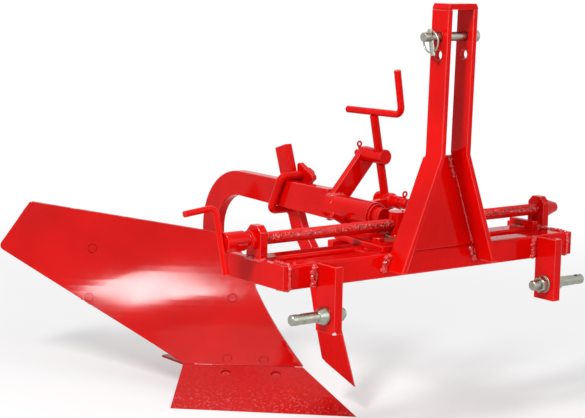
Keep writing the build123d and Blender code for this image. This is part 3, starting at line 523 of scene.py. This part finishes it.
def furrow_axes():
    """The share's own frame: its point on the ground, then along its cutting edge and out of its face."""
    low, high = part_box("share")
    point = Vector((high.x - SHARE_TIP_INSET, low.y, 0))
    edge = Vector((-math.sin(SHARE_ANGLE), math.cos(SHARE_ANGLE), 0))
    forward = Vector((-math.cos(SHARE_ANGLE), -math.sin(SHARE_ANGLE), 0))
    return point, edge, forward


def cut_by_planes(bm, planes):
    """Cut a mesh along planes, each a place and a normal, and keep all of it."""
    for place, normal in planes:
        bmesh.ops.bisect_plane(bm, geom=bm.verts[:] + bm.edges[:] + bm.faces[:], dist=1e-7,
                               plane_co=place, plane_no=normal)


def rolled_plate(node, name, thickness_mm, step_mm):
    """A CAD shell cut into an even grid along and around the roll, each point put back on the true curve
    and its outline marked for rounding."""
    point, edge, forward = furrow_axes()
    up = Vector((0, 0, 1))
    axis = point + forward * ROLL_AXIS_FORWARD + up * ROLL_AXIS_UP
    bm = merged_copy(node)
    along = [(v.co - axis).dot(edge) for v in bm.verts]
    steps = int((max(along) - min(along)) / (step_mm * MM))
    planes = [(axis + edge * (min(along) + (i + 1) * step_mm * MM), edge) for i in range(steps)]
    turn_step = step_mm * MM / ROLL_RADIUS
    for i in range(int(math.pi / 2 / turn_step)):
        slope = i * turn_step
        planes.append((axis, -forward * math.cos(slope) + up * math.sin(slope)))
    cut_by_planes(bm, planes)
    bolts = merged_copy("face_bolts")
    heads = BVHTree.FromBMesh(bolts)
    bolts.free()
    free = [v for v in bm.verts if heads.find_nearest(v.co)[3] > HEAD_REACH]
    bmesh.ops.remove_doubles(bm, verts=free, dist=step_mm * MM / 10)
    weights = bm.edges.layers.float.new("bevel_weight_edge")
    for corner in bm.edges:
        middle = (corner.verts[0].co + corner.verts[1].co) / 2
        if corner.calc_face_angle(0) > math.radians(60) and heads.find_nearest(middle)[3] > HEAD_REACH:
            corner[weights] = 1.0
    for vertex in bm.verts:
        reach = vertex.co - axis
        reach -= edge * reach.dot(edge)
        for true_radius in (ROLL_RADIUS, ROLL_RADIUS + thickness_mm * MM):
            if abs(reach.length - true_radius) < ROLL_TOLERANCE:
                vertex.co += reach.normalized() * (true_radius - reach.length)
    return object_from(bm, name)


# ---------------------------------------------------------------- node trees for what repeats
def new_tree(name, sockets):
    """Geometry tree with named inputs; returns it and its input sockets by name."""
    tree = bpy.data.node_groups.new(name, "GeometryNodeTree")
    tree.is_modifier = True
    tree.interface.new_socket("Geometry", in_out="INPUT", socket_type="NodeSocketGeometry")
    for label, kind in sockets:
        tree.interface.new_socket(label, in_out="INPUT", socket_type="NodeSocket" + kind)
    tree.interface.new_socket("Geometry", in_out="OUTPUT", socket_type="NodeSocketGeometry")
    return tree, add_node(tree, "NodeGroupInput").outputs


def close_tree(tree, geometry, coat):
    """Smooth shading, real geometry and the finish, then the tree's output."""
    smooth = add_node(tree, "GeometryNodeSetShadeSmooth", {"Geometry": geometry}).outputs[0]
    real = add_node(tree, "GeometryNodeRealizeInstances", {"Geometry": smooth}).outputs[0]
    painted = add_node(tree, "GeometryNodeSetMaterial", {"Geometry": real, "Material": coat}).outputs[0]
    add_node(tree, "NodeGroupOutput", {"Geometry": painted})
    return tree


def grown(made, tree, values):
    """The object after a geometry tree has run on it, as a plain mesh."""
    modifier = made.modifiers.new(tree.name, "NODES")
    modifier.node_group = tree
    for item in tree.interface.items_tree:
        if item.in_out == "INPUT" and item.name in values:
            modifier[item.identifier] = values[item.name]
    return baked(made)


def weld_bead_tree():
    """A lumpy run of weld metal along each line, its radius read from the lines' own size attribute."""
    tree, given = new_tree("weld_bead", (
        ("Step", "Float"), ("Lump Size", "Float"), ("Lump Height", "Float"), ("Ripple Pitch", "Float"),
        ("Seed", "Float"), ("Material", "Material")))
    size = add_node(
        tree, "GeometryNodeInputNamedAttribute", {"Name": "bead_radius"}, data_type="FLOAT").outputs[0]
    line = add_node(tree, "GeometryNodeMeshToCurve", {"Mesh": given["Geometry"]}).outputs[0]
    line = add_node(
        tree, "GeometryNodeResampleCurve", {"Curve": line, "Length": given["Step"]}, mode="LENGTH").outputs[0]
    place = add_node(tree, "GeometryNodeInputPosition").outputs[0]
    scale = maths(tree, "DIVIDE", 1.0, given["Lump Size"])
    cloud = add_node(tree, "ShaderNodeTexNoise", {
        "Vector": place, "W": given["Seed"], "Scale": scale, "Detail": 1.0}, noise_dimensions="4D").outputs[0]
    swell = ramp(tree, cloud, 0.3, 0.7, 0.72, 1.22)
    run = add_node(tree, "GeometryNodeSplineParameter").outputs
    wave = maths(tree, "DIVIDE", run["Length"], given["Ripple Pitch"])
    wave = maths(tree, "SINE", maths(tree, "MULTIPLY", wave, 2 * math.pi))
    wave = maths(tree, "MULTIPLY_ADD", wave, 0.07, 1.0)
    from_end = maths(tree, "MINIMUM", run["Factor"], maths(tree, "SUBTRACT", 1.0, run["Factor"]))
    ends = ramp(tree, from_end, 0.0, 0.05, 0.45, 1.0)
    radius = maths(tree, "MULTIPLY", maths(tree, "MULTIPLY", swell, wave), ends)
    radius = maths(tree, "MULTIPLY", radius, size)
    profile = add_node(tree, "GeometryNodeCurvePrimitiveCircle", {"Resolution": 10, "Radius": 1.0}).outputs[0]
    bead = add_node(tree, "GeometryNodeCurveToMesh", {
        "Curve": line, "Profile Curve": profile, "Scale": radius, "Fill Caps": True}).outputs[0]
    grain = add_node(tree, "ShaderNodeTexNoise", {
        "Vector": place, "W": given["Seed"], "Scale": maths(tree, "MULTIPLY", scale, 2.1), "Detail": 2.0},
        noise_dimensions="4D").outputs[0]
    push = maths(tree, "MULTIPLY", maths(tree, "SUBTRACT", grain, 0.5), given["Lump Height"])
    push = maths(tree, "MULTIPLY", push, size)
    normal = add_node(tree, "GeometryNodeInputNormal").outputs[0]
    offset = add_node(tree, "ShaderNodeVectorMath", {0: normal, "Scale": push}, operation="SCALE").outputs[0]
    bead = add_node(tree, "GeometryNodeSetPosition", {"Geometry": bead, "Offset": offset}).outputs[0]
    return close_tree(tree, bead, given["Material"])


def spatter_tree():
    """Beads of weld spatter on a surface, thickest beside the welds and gone at a set reach."""
    tree, given = new_tree("weld_spatter", (
        ("Welds", "Object"), ("Reach", "Float"), ("Density", "Float"), ("Radius", "Float"), ("Seed", "Int"),
        ("Material", "Material")))
    welds = add_node(tree, "GeometryNodeObjectInfo", {"Object": given["Welds"]}).outputs["Geometry"]
    gap = add_node(tree, "GeometryNodeProximity", {"Geometry": welds}, target_element="FACES")
    beside = ramp(tree, gap.outputs["Distance"], 0.0, given["Reach"], 1.0, 0.0)
    thick = maths(tree, "MULTIPLY", maths(tree, "POWER", beside, 2.0), given["Density"])
    points = add_node(tree, "GeometryNodeDistributePointsOnFaces", {
        "Mesh": given["Geometry"], "Density": thick, "Seed": given["Seed"]})
    ball = add_node(
        tree, "GeometryNodeMeshIcoSphere", {"Radius": given["Radius"], "Subdivisions": 2}).outputs[0]
    chance = add_node(tree, "FunctionNodeRandomValue", {
        "Min": 0.35, "Max": 1.3, "Seed": given["Seed"]}, data_type="FLOAT")
    size = [o for o in chance.outputs if o.enabled][0]
    flat = add_node(tree, "ShaderNodeCombineXYZ", {
        "X": size, "Y": size, "Z": maths(tree, "MULTIPLY", size, 0.6)}).outputs[0]
    balls = add_node(tree, "GeometryNodeInstanceOnPoints", {
        "Points": points.outputs["Points"], "Instance": ball, "Rotation": points.outputs["Rotation"],
        "Scale": flat}).outputs[0]
    return close_tree(tree, balls, given["Material"])


def thread_tree():
    """A screw thread up +Z from the origin: a round-crested ridge wound on a plain core."""
    tree, given = new_tree("screw_thread", (
        ("Length", "Float"), ("Pitch", "Float"), ("Crest Radius", "Float"), ("Depth", "Float"),
        ("Material", "Material")))
    turns = maths(tree, "DIVIDE", given["Length"], given["Pitch"])
    ridge = maths(tree, "MULTIPLY", given["Pitch"], 0.27)
    wound = maths(tree, "SUBTRACT", given["Crest Radius"], ridge)
    helix = add_node(tree, "GeometryNodeCurveSpiral", {
        "Resolution": 22, "Rotations": turns, "Start Radius": wound, "End Radius": wound,
        "Height": given["Length"]}).outputs[0]
    profile = add_node(
        tree, "GeometryNodeCurvePrimitiveCircle", {"Resolution": 6, "Radius": ridge}).outputs[0]
    crest = add_node(tree, "GeometryNodeCurveToMesh", {
        "Curve": helix, "Profile Curve": profile, "Fill Caps": True}).outputs[0]
    top = add_node(tree, "ShaderNodeCombineXYZ", {"Z": given["Length"]}).outputs[0]
    axis = add_node(tree, "GeometryNodeCurvePrimitiveLine", {"Start": (0, 0, 0), "End": top}).outputs[0]
    root = maths(tree, "SUBTRACT", given["Crest Radius"], given["Depth"])
    circle = add_node(tree, "GeometryNodeCurvePrimitiveCircle", {"Resolution": 32, "Radius": root}).outputs[0]
    core = add_node(tree, "GeometryNodeCurveToMesh", {
        "Curve": axis, "Profile Curve": circle, "Fill Caps": True}).outputs[0]
    joined = add_node(tree, "GeometryNodeJoinGeometry")
    for part in (crest, core):
        tree.links.new(part, joined.inputs[0])
    return close_tree(tree, joined.outputs[0], given["Material"])


# ---------------------------------------------------------------- weld lines
def contact_lines(node, against, side=None, rim=None, band=None):
    """Runs of a node's sharp edges that lie on another node's surface: where the two are welded.
    side keeps the edges of faces that look one way; rim keeps points at the node's own outer limits on
    some axes; band keeps those between two heights in millimetres."""
    bm = merged_copy(node)
    other = merged_copy(against)
    surface = BVHTree.FromBMesh(other)
    low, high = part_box(node)
    runs = []

    def kept(point):
        if surface.find_nearest(point)[3] > CONTACT_REACH:
            return False
        if band and not band[0] * MM <= point.z <= band[1] * MM:
            return False
        return not rim or any(min(point[i] - low[i], high[i] - point[i]) < RIM_REACH for i in rim)

    for edge in bm.edges:
        if not edge.is_manifold or edge.calc_face_angle(0) < math.radians(25):
            continue
        if side and max(face.normal.dot(Vector(side)) for face in edge.link_faces) < 0.7:
            continue
        start, end = (v.co.copy() for v in edge.verts)
        count = max(1, int((end - start).length / WELD_SAMPLE))
        run = []
        for i in range(count + 1):
            point = start.lerp(end, i / count)
            if kept(point):
                run.append(point)
            if run and (i == count or not kept(point)):
                if len(run) > 1:
                    runs.append(run)
                run = []
    bm.free()
    other.free()
    return joined_runs(runs)


def joined_pair(lines):
    """The first two lines that meet end to end: their numbers and the one line they make."""
    for i, first in enumerate(lines):
        for j in range(i + 1, len(lines)):
            for a in (first, first[::-1]):
                for b in (lines[j], lines[j][::-1]):
                    if (a[-1] - b[0]).length < JOIN_REACH:
                        return i, j, a + b[1:]
    return None


def length_of(line):
    return sum((after - before).length for before, after in zip(line, line[1:]))


def joined_runs(runs):
    """Runs that meet end to end become one line, and what is still short is dropped."""
    lines = list(runs)
    pair = joined_pair(lines)
    while pair:
        i, j, line = pair
        lines[i] = line
        del lines[j]
        pair = joined_pair(lines)
    return [line for line in lines if length_of(line) > SHORTEST_WELD]


def line_mesh(name, lines):
    """Mesh of bare lines; each line is (points, bead radius in millimetres)."""
    bm = bmesh.new()
    layer = bm.verts.layers.float.new("bead_radius")
    for points, radius in lines:
        previous = None
        for point in points:
            vertex = bm.verts.new(point)
            vertex[layer] = radius * MM
            if previous:
                bm.edges.new((previous, vertex))
            previous = vertex
    return object_from(bm, name)


# ---------------------------------------------------------------- settings
class PLOUGH_PG_paint(bpy.types.PropertyGroup):
    """Colours and gloss of the finishes"""

    enamel: FloatVectorProperty(
        name="Enamel", description="Red of the gloss enamel", subtype="COLOR", size=4,
        default=linear("#DC0804"), min=0, max=1)
    enamel_deep: FloatVectorProperty(
        name="Deep enamel", description="Red where the film is thick", subtype="COLOR", size=4,
        default=linear("#C80503"), min=0, max=1)
    # darker copies of the enamel: on the moldboard painted shade against the key light it faces; the share
    # takes the same reds
    face_red_and_shade: FloatVectorProperty(
        name="Face enamel", description="Red of the moldboard and the share", subtype="COLOR", size=4,
        default=linear("#C80804"), min=0, max=1)
    face_deep_red_and_shade: FloatVectorProperty(
        name="Deep face enamel", description="Red of the moldboard and the share where the film is thick",
        subtype="COLOR", size=4, default=linear("#B60402"), min=0, max=1)
    enamel_roughness: FloatProperty(
        name="Enamel roughness", description="Roughness of the gloss enamel", default=0.07, min=0, max=1)
    enamel_shine: FloatProperty(
        name="Enamel shine", description="Specular level of the gloss enamel", default=0.08, min=0, max=1)
    edge_shine: FloatProperty(
        name="Edge shine", description="Specular level of broken edges, where the film is pulled tight",
        default=0.6, min=0, max=1)
    moldboard_shine: FloatProperty(
        name="Moldboard shine", description="Specular level of the moldboard's enamel", default=0.17, min=0,
        max=1)
    wind: FloatProperty(
        name="Wing wind", description="How far the moldboard's face is wound at its wing, as a slope",
        default=0.28, min=-1, max=1)
    wind_from: FloatProperty(
        name="Wind from", description="Distance from the wing's end where the winding starts", unit="LENGTH",
        default=0.40, min=0.01)
    # also the colour of the painted shade in the ring round flush bolt heads
    thin_paint_and_shade: FloatVectorProperty(
        name="Thin paint", description="Darker red of thin paint over a thread", subtype="COLOR", size=4,
        default=linear("#8A1410"), min=0, max=1)
    steel: FloatVectorProperty(
        name="Zinc plate", description="Colour of the plated pins", subtype="COLOR", size=4,
        default=linear("#A3A699"), min=0, max=1)
    floor: FloatVectorProperty(
        name="Floor", description="Colour of the paper sweep", subtype="COLOR", size=4,
        default=linear("#FAFAFA"), min=0, max=1)
    floor_fade: FloatProperty(
        name="Floor fade", description="Distance at which the floor has turned white", unit="LENGTH",
        default=2.6, min=0.5)
    floor_white: FloatProperty(
        name="Floor white", description="Share of plain white in the floor beside the plough", default=0.45,
        min=0, max=1)


class PLOUGH_PG_edges(bpy.types.PropertyGroup):
    """How far the edges are broken"""

    plate: FloatProperty(
        name="Plate edge", description="Broken edge of flame-cut plates, in millimetres", default=1.0, min=0)
    bar: FloatProperty(
        name="Bar edge", description="Rolled edge of flat bars, in millimetres", default=1.6, min=0)
    small: FloatProperty(
        name="Small edge", description="Edge of pins and small parts, in millimetres", default=0.7, min=0)


class PLOUGH_PG_welds(bpy.types.PropertyGroup):
    """Sizes of the weld beads and the spatter"""

    size: FloatProperty(
        name="Bead size", description="Scale of every weld bead", default=1.0, min=0.1)
    weave: FloatProperty(
        name="Weave pitch", description="Length of one swing of a woven bead, in millimetres",
        default=4.8, min=1)
    lump: FloatProperty(name="Lump size", description="Length of a lump, in millimetres", default=7, min=0.5)
    height: FloatProperty(
        name="Lump height", description="Height of a lump as a share of the bead's radius",
        default=2.2, min=0)
    ripple: FloatProperty(
        name="Ripple pitch", description="Spacing of the ripples, in millimetres", default=3.2, min=0.5)
    spatter: FloatProperty(
        name="Spatter", description="Beads of spatter to a square centimetre", default=1.1, min=0)
    seed: IntProperty(name="Seed", description="Changes every lump and bead of spatter", default=4)


class PLOUGH_PG_threads(bpy.types.PropertyGroup):
    """Pitches and depths of the threads"""

    spindle_pitch: FloatProperty(
        name="Spindle pitch", description="Thread of the offset spindle, in millimetres", default=4.5, min=1)
    spindle_depth: FloatProperty(
        name="Spindle depth", description="Depth of that thread, in millimetres", default=1.3, min=0.1)
    screw_pitch: FloatProperty(
        name="Tilt screw pitch", description="Thread of the tilt screw, in millimetres", default=2.5, min=0.5)
    screw_depth: FloatProperty(
        name="Tilt screw depth", description="Depth of that thread, in millimetres", default=0.7, min=0.1)


class PLOUGH_PG_stage(bpy.types.PropertyGroup):
    """Camera and softboxes"""

    lens: FloatProperty(name="Lens", description="Focal length in millimetres", default=105.8, min=10)
    place: FloatVectorProperty(
        name="Camera place", description="Where the camera stands", subtype="XYZ", unit="LENGTH",
        default=(-2.3244, -3.1605, 1.0465))
    heading: FloatProperty(
        name="Heading", description="Turn from +Y towards +X", subtype="ANGLE", default=math.radians(37.03))
    dip: FloatProperty(
        name="Dip", description="Look below the horizon", subtype="ANGLE", default=math.radians(8.89))
    roll: FloatProperty(name="Roll", description="Turn about the view line", subtype="ANGLE",
                        default=math.radians(1.08))
    sky: FloatProperty(name="Surround", description="Strength of the even surround", default=0.24, min=0)
    key: FloatProperty(
        name="Key light", description="Power of the key softbox", unit="POWER", default=129, min=0)
    top: FloatProperty(
        name="Top light", description="Power of the overhead softbox", unit="POWER", default=25, min=0)
    fill: FloatProperty(
        name="Fill light", description="Power of the fill softbox", unit="POWER", default=100, min=0)


SETTINGS = {
    "plough_paint": PLOUGH_PG_paint, "plough_edges": PLOUGH_PG_edges, "plough_welds": PLOUGH_PG_welds,
    "plough_threads": PLOUGH_PG_threads, "plough_stage": PLOUGH_PG_stage,
}


# ---------------------------------------------------------------- pieces
PLATES = (
    "left_end_plate", "right_end_plate", "mast_gusset", "carriage_stop", "carriage_plate",
    "rear_cross_bar", "guide_block", "clamp_plate", "tube_cradle", "tube_lock_bar", "screw_lug",
    "spindle_brackets", "frog_rib", "frog_outer_rib", "share_seat", "moldboard_seat", "stay_pad",
    "moldboard_stay", "landside", "coulter_clamp_plate",
)
BARS = (
    "left_link_bracket", "right_link_bracket", "left_mast_leg", "right_mast_leg", "front_rail", "rear_rail",
    "plough_beam", "tilt_arm", "knife_coulter",
)
ROUNDS = (
    "spindle_nut_post", "spindle_hub", "spindle_crank", "spindle_end_nut", "swivel_tube", "swivel_shaft",
    "shaft_washer", "beam_collar", "coulter_u_bolt", "coulter_clamp_nuts", "screw_foot",
    "foot_split_pin", "tilt_crank", "tilt_nut", "nut_split_pin", "carriage_bolts", "face_bolts", "mast_cap",
    "landside_bolts", "share",
)
COATS = {
    "share": "share", "frog_outer_rib": "share", "left_link_bracket": "chipped", "left_mast_leg": "chipped",
    "carriage_plate": "chipped", "knife_coulter": "ground", "face_bolts": "moldboard",
}
PINS = ("left_link_pin", "right_link_pin", "top_link_pin", "linch_pin", "linch_ring", "link_pin_nuts")


class PLOUGH_OT_steelwork(bpy.types.Operator):
    """Give every plate and bar its broken edges and enamel"""

    bl_idname = "plough.steelwork"
    bl_label = "Steelwork"

    def execute(self, context):
        edges = context.scene.plough_edges
        for nodes, width in ((PLATES, edges.plate), (BARS, edges.bar), (ROUNDS, edges.small)):
            for node in nodes:
                finished_node(node, width, COATS.get(node, "enamel"))
        for node in PINS:
            finished_node(node, edges.small, "steel")
        return {"FINISHED"}


class PLOUGH_OT_moldboard(bpy.types.Operator):
    """Roll the moldboard smoothly and break its edges"""

    bl_idname = "plough.moldboard"
    bl_label = "Moldboard"

    def execute(self, context):
        made = rolled_plate("moldboard", "rolled_moldboard", thickness_mm=8, step_mm=14)
        made = rounded(made, context.scene.plough_edges.plate, marked=True)
        finish_piece(made, "beam", "moldboard", nodes=["moldboard"])
        return {"FINISHED"}


def threaded_bar(name, start, end, pitch_mm, depth_mm, radius, coat):
    """A threaded bar between two points."""
    made = object_from(bmesh.new(), name)
    path = Vector(end) - Vector(start)
    made = grown(made, thread_tree(), {
        "Length": path.length, "Pitch": pitch_mm * MM, "Crest Radius": radius, "Depth": depth_mm * MM,
        "Material": finish_of(coat)})
    made.data.transform(Matrix.Translation(start) @ path.to_track_quat("Z", "Y").to_matrix().to_4x4())
    return made


class PLOUGH_OT_threads(bpy.types.Operator):
    """Cut the threads of the offset spindle and the tilt screw"""

    bl_idname = "plough.threads"
    bl_label = "Threads"

    def execute(self, context):
        threads = context.scene.plough_threads
        low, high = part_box("offset_spindle")
        middle = (low + high) / 2
        radius = (high.z - low.z) / 2 - CREST_INSET
        spindle = threaded_bar(
            "threaded_spindle", (low.x, middle.y, middle.z), (high.x, middle.y, middle.z),
            threads.spindle_pitch, threads.spindle_depth, radius, "thread")
        finish_piece(spindle, "headstock", "thread", ["offset_spindle"])

        low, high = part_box("tilt_screw")
        radius = (high.y - low.y) / 2
        lean = math.atan2(high.x - low.x - 2 * radius, high.z - low.z)
        inward = Vector((math.cos(lean), 0, -math.sin(lean))) * radius
        middle = (low.y + high.y) / 2
        foot = Vector((high.x, middle, low.z)) - inward
        top = Vector((low.x, middle, high.z)) + inward
        screw = threaded_bar("threaded_tilt_screw", foot, top, threads.screw_pitch, threads.screw_depth,
                             radius - CREST_INSET, "enamel")
        finish_piece(screw, "tilt_screw", "enamel", nodes=["tilt_screw"])
        return {"FINISHED"}


LEFT, RIGHT = (-1, 0, 0), (1, 0, 0)


def weld(node, against, bead, side=None, rim=None, band=None, weave=None):
    """One weld: a node and what it is welded to, the bead's radius, where it runs as contact_lines has it,
    and for a woven bead how far it swings from the joint in millimetres."""
    return node, against, bead, (side, rim, band), weave


# node, what it is welded to, bead radius in millimetres, and which of their joints
WELDS = (
    weld("front_rail", "left_end_plate", 4.2, rim=(1, 2)),
    weld("front_rail", "right_end_plate", 4.2, rim=(1, 2)),
    weld("rear_rail", "left_end_plate", 3.8, rim=(1, 2)),
    weld("rear_rail", "right_end_plate", 3.8, rim=(1, 2)),
    weld("left_link_bracket", "front_rail", 5.6, side=LEFT, weave=(-14, 0, 0)),
    weld("left_link_bracket", "front_rail", 3.0, side=RIGHT),
    weld("right_link_bracket", "front_rail", 5.6, side=LEFT, weave=(-13, 0, 0)),
    weld("right_link_bracket", "front_rail", 3.0, side=RIGHT),
    weld("left_mast_leg", "front_rail", 5.8, side=LEFT, weave=(-15, 0, 0)),
    weld("left_mast_leg", "front_rail", 3.0, side=RIGHT),
    weld("right_mast_leg", "front_rail", 5.8, side=LEFT, weave=(-12, 0, 0)),
    weld("right_mast_leg", "front_rail", 3.6, side=RIGHT, weave=(8, 0, 0)),
    weld("left_mast_leg", "mast_gusset", 2.2),
    weld("right_mast_leg", "mast_gusset", 2.6),
    weld("right_mast_leg", "mast_gusset", 4.0, band=(565, 614), weave=(-8, 0, -5)),
    weld("mast_gusset", "front_rail", 2.4),
    weld("spindle_brackets", "left_end_plate", 5.0),
    weld("spindle_brackets", "right_end_plate", 5.0),
    weld("carriage_stop", "rear_rail", 3.8),
    weld("spindle_hub", "spindle_crank", 4.4),
    weld("spindle_hub", "offset_spindle", 3.4),
    weld("tube_cradle", "swivel_tube", 4.2),
    weld("tube_cradle", "carriage_plate", 4.4),
    weld("screw_lug", "swivel_tube", 4.6),
    weld("spindle_nut_post", "carriage_plate", 5.0),
    weld("rear_cross_bar", "carriage_plate", 3.0),
    weld("beam_collar", "plough_beam", 4.8),
    weld("plough_beam", "beam_collar", 4.8),
    weld("tilt_arm", "beam_collar", 5.4),
    weld("frog_rib", "plough_beam", 4.5),
    weld("moldboard_stay", "stay_pad", 4.0),
    weld("moldboard_stay", "plough_beam", 4.0),
    weld("tilt_screw", "screw_foot", 3.0),
)

# bodies whose spatter was left on; it was chipped off where pieces slide or turn
SPATTERED = ("headstock", "beam")


def woven(line, across, pitch_mm):
    """The zigzag of a woven bead: the line's points at half the pitch, every other one moved across by a
    hand's uneven swing."""
    path, gone, swing = [line[0]], 0.0, False
    for before, after in zip(line, line[1:]):
        gone += (after - before).length
        if gone >= pitch_mm * MM / 2:
            swing = not swing
            uneven = 0.8 + 0.2 * math.sin(1.9 * len(path))
            path.append(after + across * uneven if swing else after)
            gone = 0.0
    return path


class PLOUGH_OT_welds(bpy.types.Operator):
    """Lay the weld beads and their spatter"""

    bl_idname = "plough.welds"
    bl_label = "Welds"

    def execute(self, context):
        welds = context.scene.plough_welds
        bead, spatter = weld_bead_tree(), spatter_tree()
        lines, sides = {}, {}
        for node, against, radius, where, weave in WELDS:
            body = BODY_OF[node]
            for line in contact_lines(node, against, *where):
                if weave:
                    line = woven(line, Vector(weave) * MM, welds.weave)
                lines.setdefault(body, []).append((line, radius * welds.size))
            sides.setdefault(body, set()).update((node, against))
        for body, found in lines.items():
            made = grown(line_mesh("weld_beads_" + body, found), bead, {
                "Step": BEAD_STEP, "Lump Size": welds.lump * MM, "Lump Height": welds.height,
                "Ripple Pitch": welds.ripple * MM, "Seed": float(welds.seed), "Material": finish_of("weld")})
            finish_piece(made, body, "weld")
            if body not in SPATTERED:
                continue
            bm = bmesh.new()
            for node in sorted(sides[body]):
                bm.from_mesh(frame["nodes"][node].data)
            plates = grown(object_from(bm, "weld_spatter_" + body), spatter, {
                "Welds": made, "Reach": SPATTER_REACH, "Density": welds.spatter * PER_SQUARE_CENTIMETRE,
                "Radius": SPATTER_RADIUS, "Seed": welds.seed, "Material": finish_of("enamel")})
            finish_piece(plates, body, "enamel")
        return {"FINISHED"}


# the key softbox stands where the moldboard mirrors it: heading and rise in degrees, distance in metres
SHEEN_CENTRE = (-0.15, 0.3, 0.22)
KEY_WAY = (-121, 45, 4.2)
PLOUGH_MIDDLE = (0, 0, 0.4)
FLOOR_RADIUS = 60


def polar(centre, heading_deg, rise_deg, away):
    """Point seen from a centre on a heading from +Y towards +X, at a rise over the horizon."""
    heading, rise = math.radians(heading_deg), math.radians(rise_deg)
    way = Vector((math.sin(heading) * math.cos(rise), math.cos(heading) * math.cos(rise), math.sin(rise)))
    return Vector(centre) + way * away


def area_light(name, place, target, size, power):
    """A softbox at a place, facing a target."""
    data = bpy.data.lights.new(name, "AREA")
    data.shape = "RECTANGLE"
    data.size, data.size_y = size
    data.energy = power
    lamp = bpy.data.objects.new(name, data)
    lamp.location = place
    lamp.rotation_euler = (Vector(target) - Vector(place)).to_track_quat("-Z", "Y").to_euler()
    bpy.context.scene.collection.objects.link(lamp)


class PLOUGH_OT_stage(bpy.types.Operator):
    """Make the floor, the softboxes, the surround and the camera"""

    bl_idname = "plough.stage"
    bl_label = "Stage"

    def execute(self, context):
        stage, paint = context.scene.plough_stage, context.scene.plough_paint
        bm = bmesh.new()
        bmesh.ops.create_circle(bm, cap_ends=True, segments=96, radius=FLOOR_RADIUS)
        floor = object_from(bm, "floor")
        floor.data.materials.append(studio_floor(paint))

        area_light("key_softbox", polar(SHEEN_CENTRE, *KEY_WAY), SHEEN_CENTRE, (0.65, 1.09), stage.key)
        area_light("top_softbox", (0.2, 0.3, 3.8), PLOUGH_MIDDLE, (3.0, 3.0), stage.top)
        area_light("fill_softbox", (1.0, -4.8, 2.2), PLOUGH_MIDDLE, (4.5, 3.5), stage.fill)

        world = bpy.data.worlds.new("white_surround")
        world.use_nodes = True
        context.scene.world = world
        tree = world.node_tree
        tree.nodes.clear()
        path = add_node(tree, "ShaderNodeLightPath").outputs
        seen = maths(tree, "MAXIMUM", path["Is Camera Ray"], maths(
            tree, "MAXIMUM", path["Is Glossy Ray"], path["Is Transmission Ray"]))
        strength = ramp(tree, seen, 0, 1, stage.sky, 1.0)
        sky = add_node(tree, "ShaderNodeBackground", {"Color": (1, 1, 1, 1), "Strength": strength}).outputs[0]
        add_node(tree, "ShaderNodeOutputWorld", {"Surface": sky})

        data = bpy.data.cameras.new("camera")
        data.lens = stage.lens
        data.sensor_width = 36
        data.clip_end = 200
        camera = bpy.data.objects.new("camera", data)
        turn = (Matrix.Rotation(-stage.heading, 4, "Z") @ Matrix.Rotation(math.pi / 2 - stage.dip, 4, "X")
                @ Matrix.Rotation(stage.roll, 4, "Z"))
        camera.matrix_world = Matrix.Translation(Vector(stage.place)) @ turn
        context.scene.collection.objects.link(camera)
        context.scene.camera = camera
        context.scene.view_settings.view_transform = "Standard"
        return {"FINISHED"}


OPERATORS = (PLOUGH_OT_stage, PLOUGH_OT_steelwork, PLOUGH_OT_moldboard, PLOUGH_OT_threads, PLOUGH_OT_welds)


class PLOUGH_PT_panel(bpy.types.Panel):
    """Sizes, colours and pieces of the plough"""

    bl_label = "Plough"
    bl_idname = "PLOUGH_PT_panel"
    bl_space_type = "VIEW_3D"
    bl_region_type = "UI"
    bl_category = "Plough"

    def draw(self, context):
        for name, group in SETTINGS.items():
            box = self.layout.box()
            for prop in group.__annotations__:
                box.prop(getattr(context.scene, name), prop)
        for operator in OPERATORS:
            self.layout.operator(operator.bl_idname)


CLASSES = (*SETTINGS.values(), *OPERATORS, PLOUGH_PT_panel)


def register():
    for item in CLASSES:
        bpy.utils.register_class(item)
    for name, group in SETTINGS.items():
        setattr(bpy.types.Scene, name, PointerProperty(type=group))


def unregister():
    for name in SETTINGS:
        delattr(bpy.types.Scene, name)
    for item in reversed(CLASSES):
        bpy.utils.unregister_class(item)


def main():
    register()
    for operator in OPERATORS:
        group, name = operator.bl_idname.split(".")
        getattr(getattr(bpy.ops, group), name)()


if __name__ == "__main__":
    main()
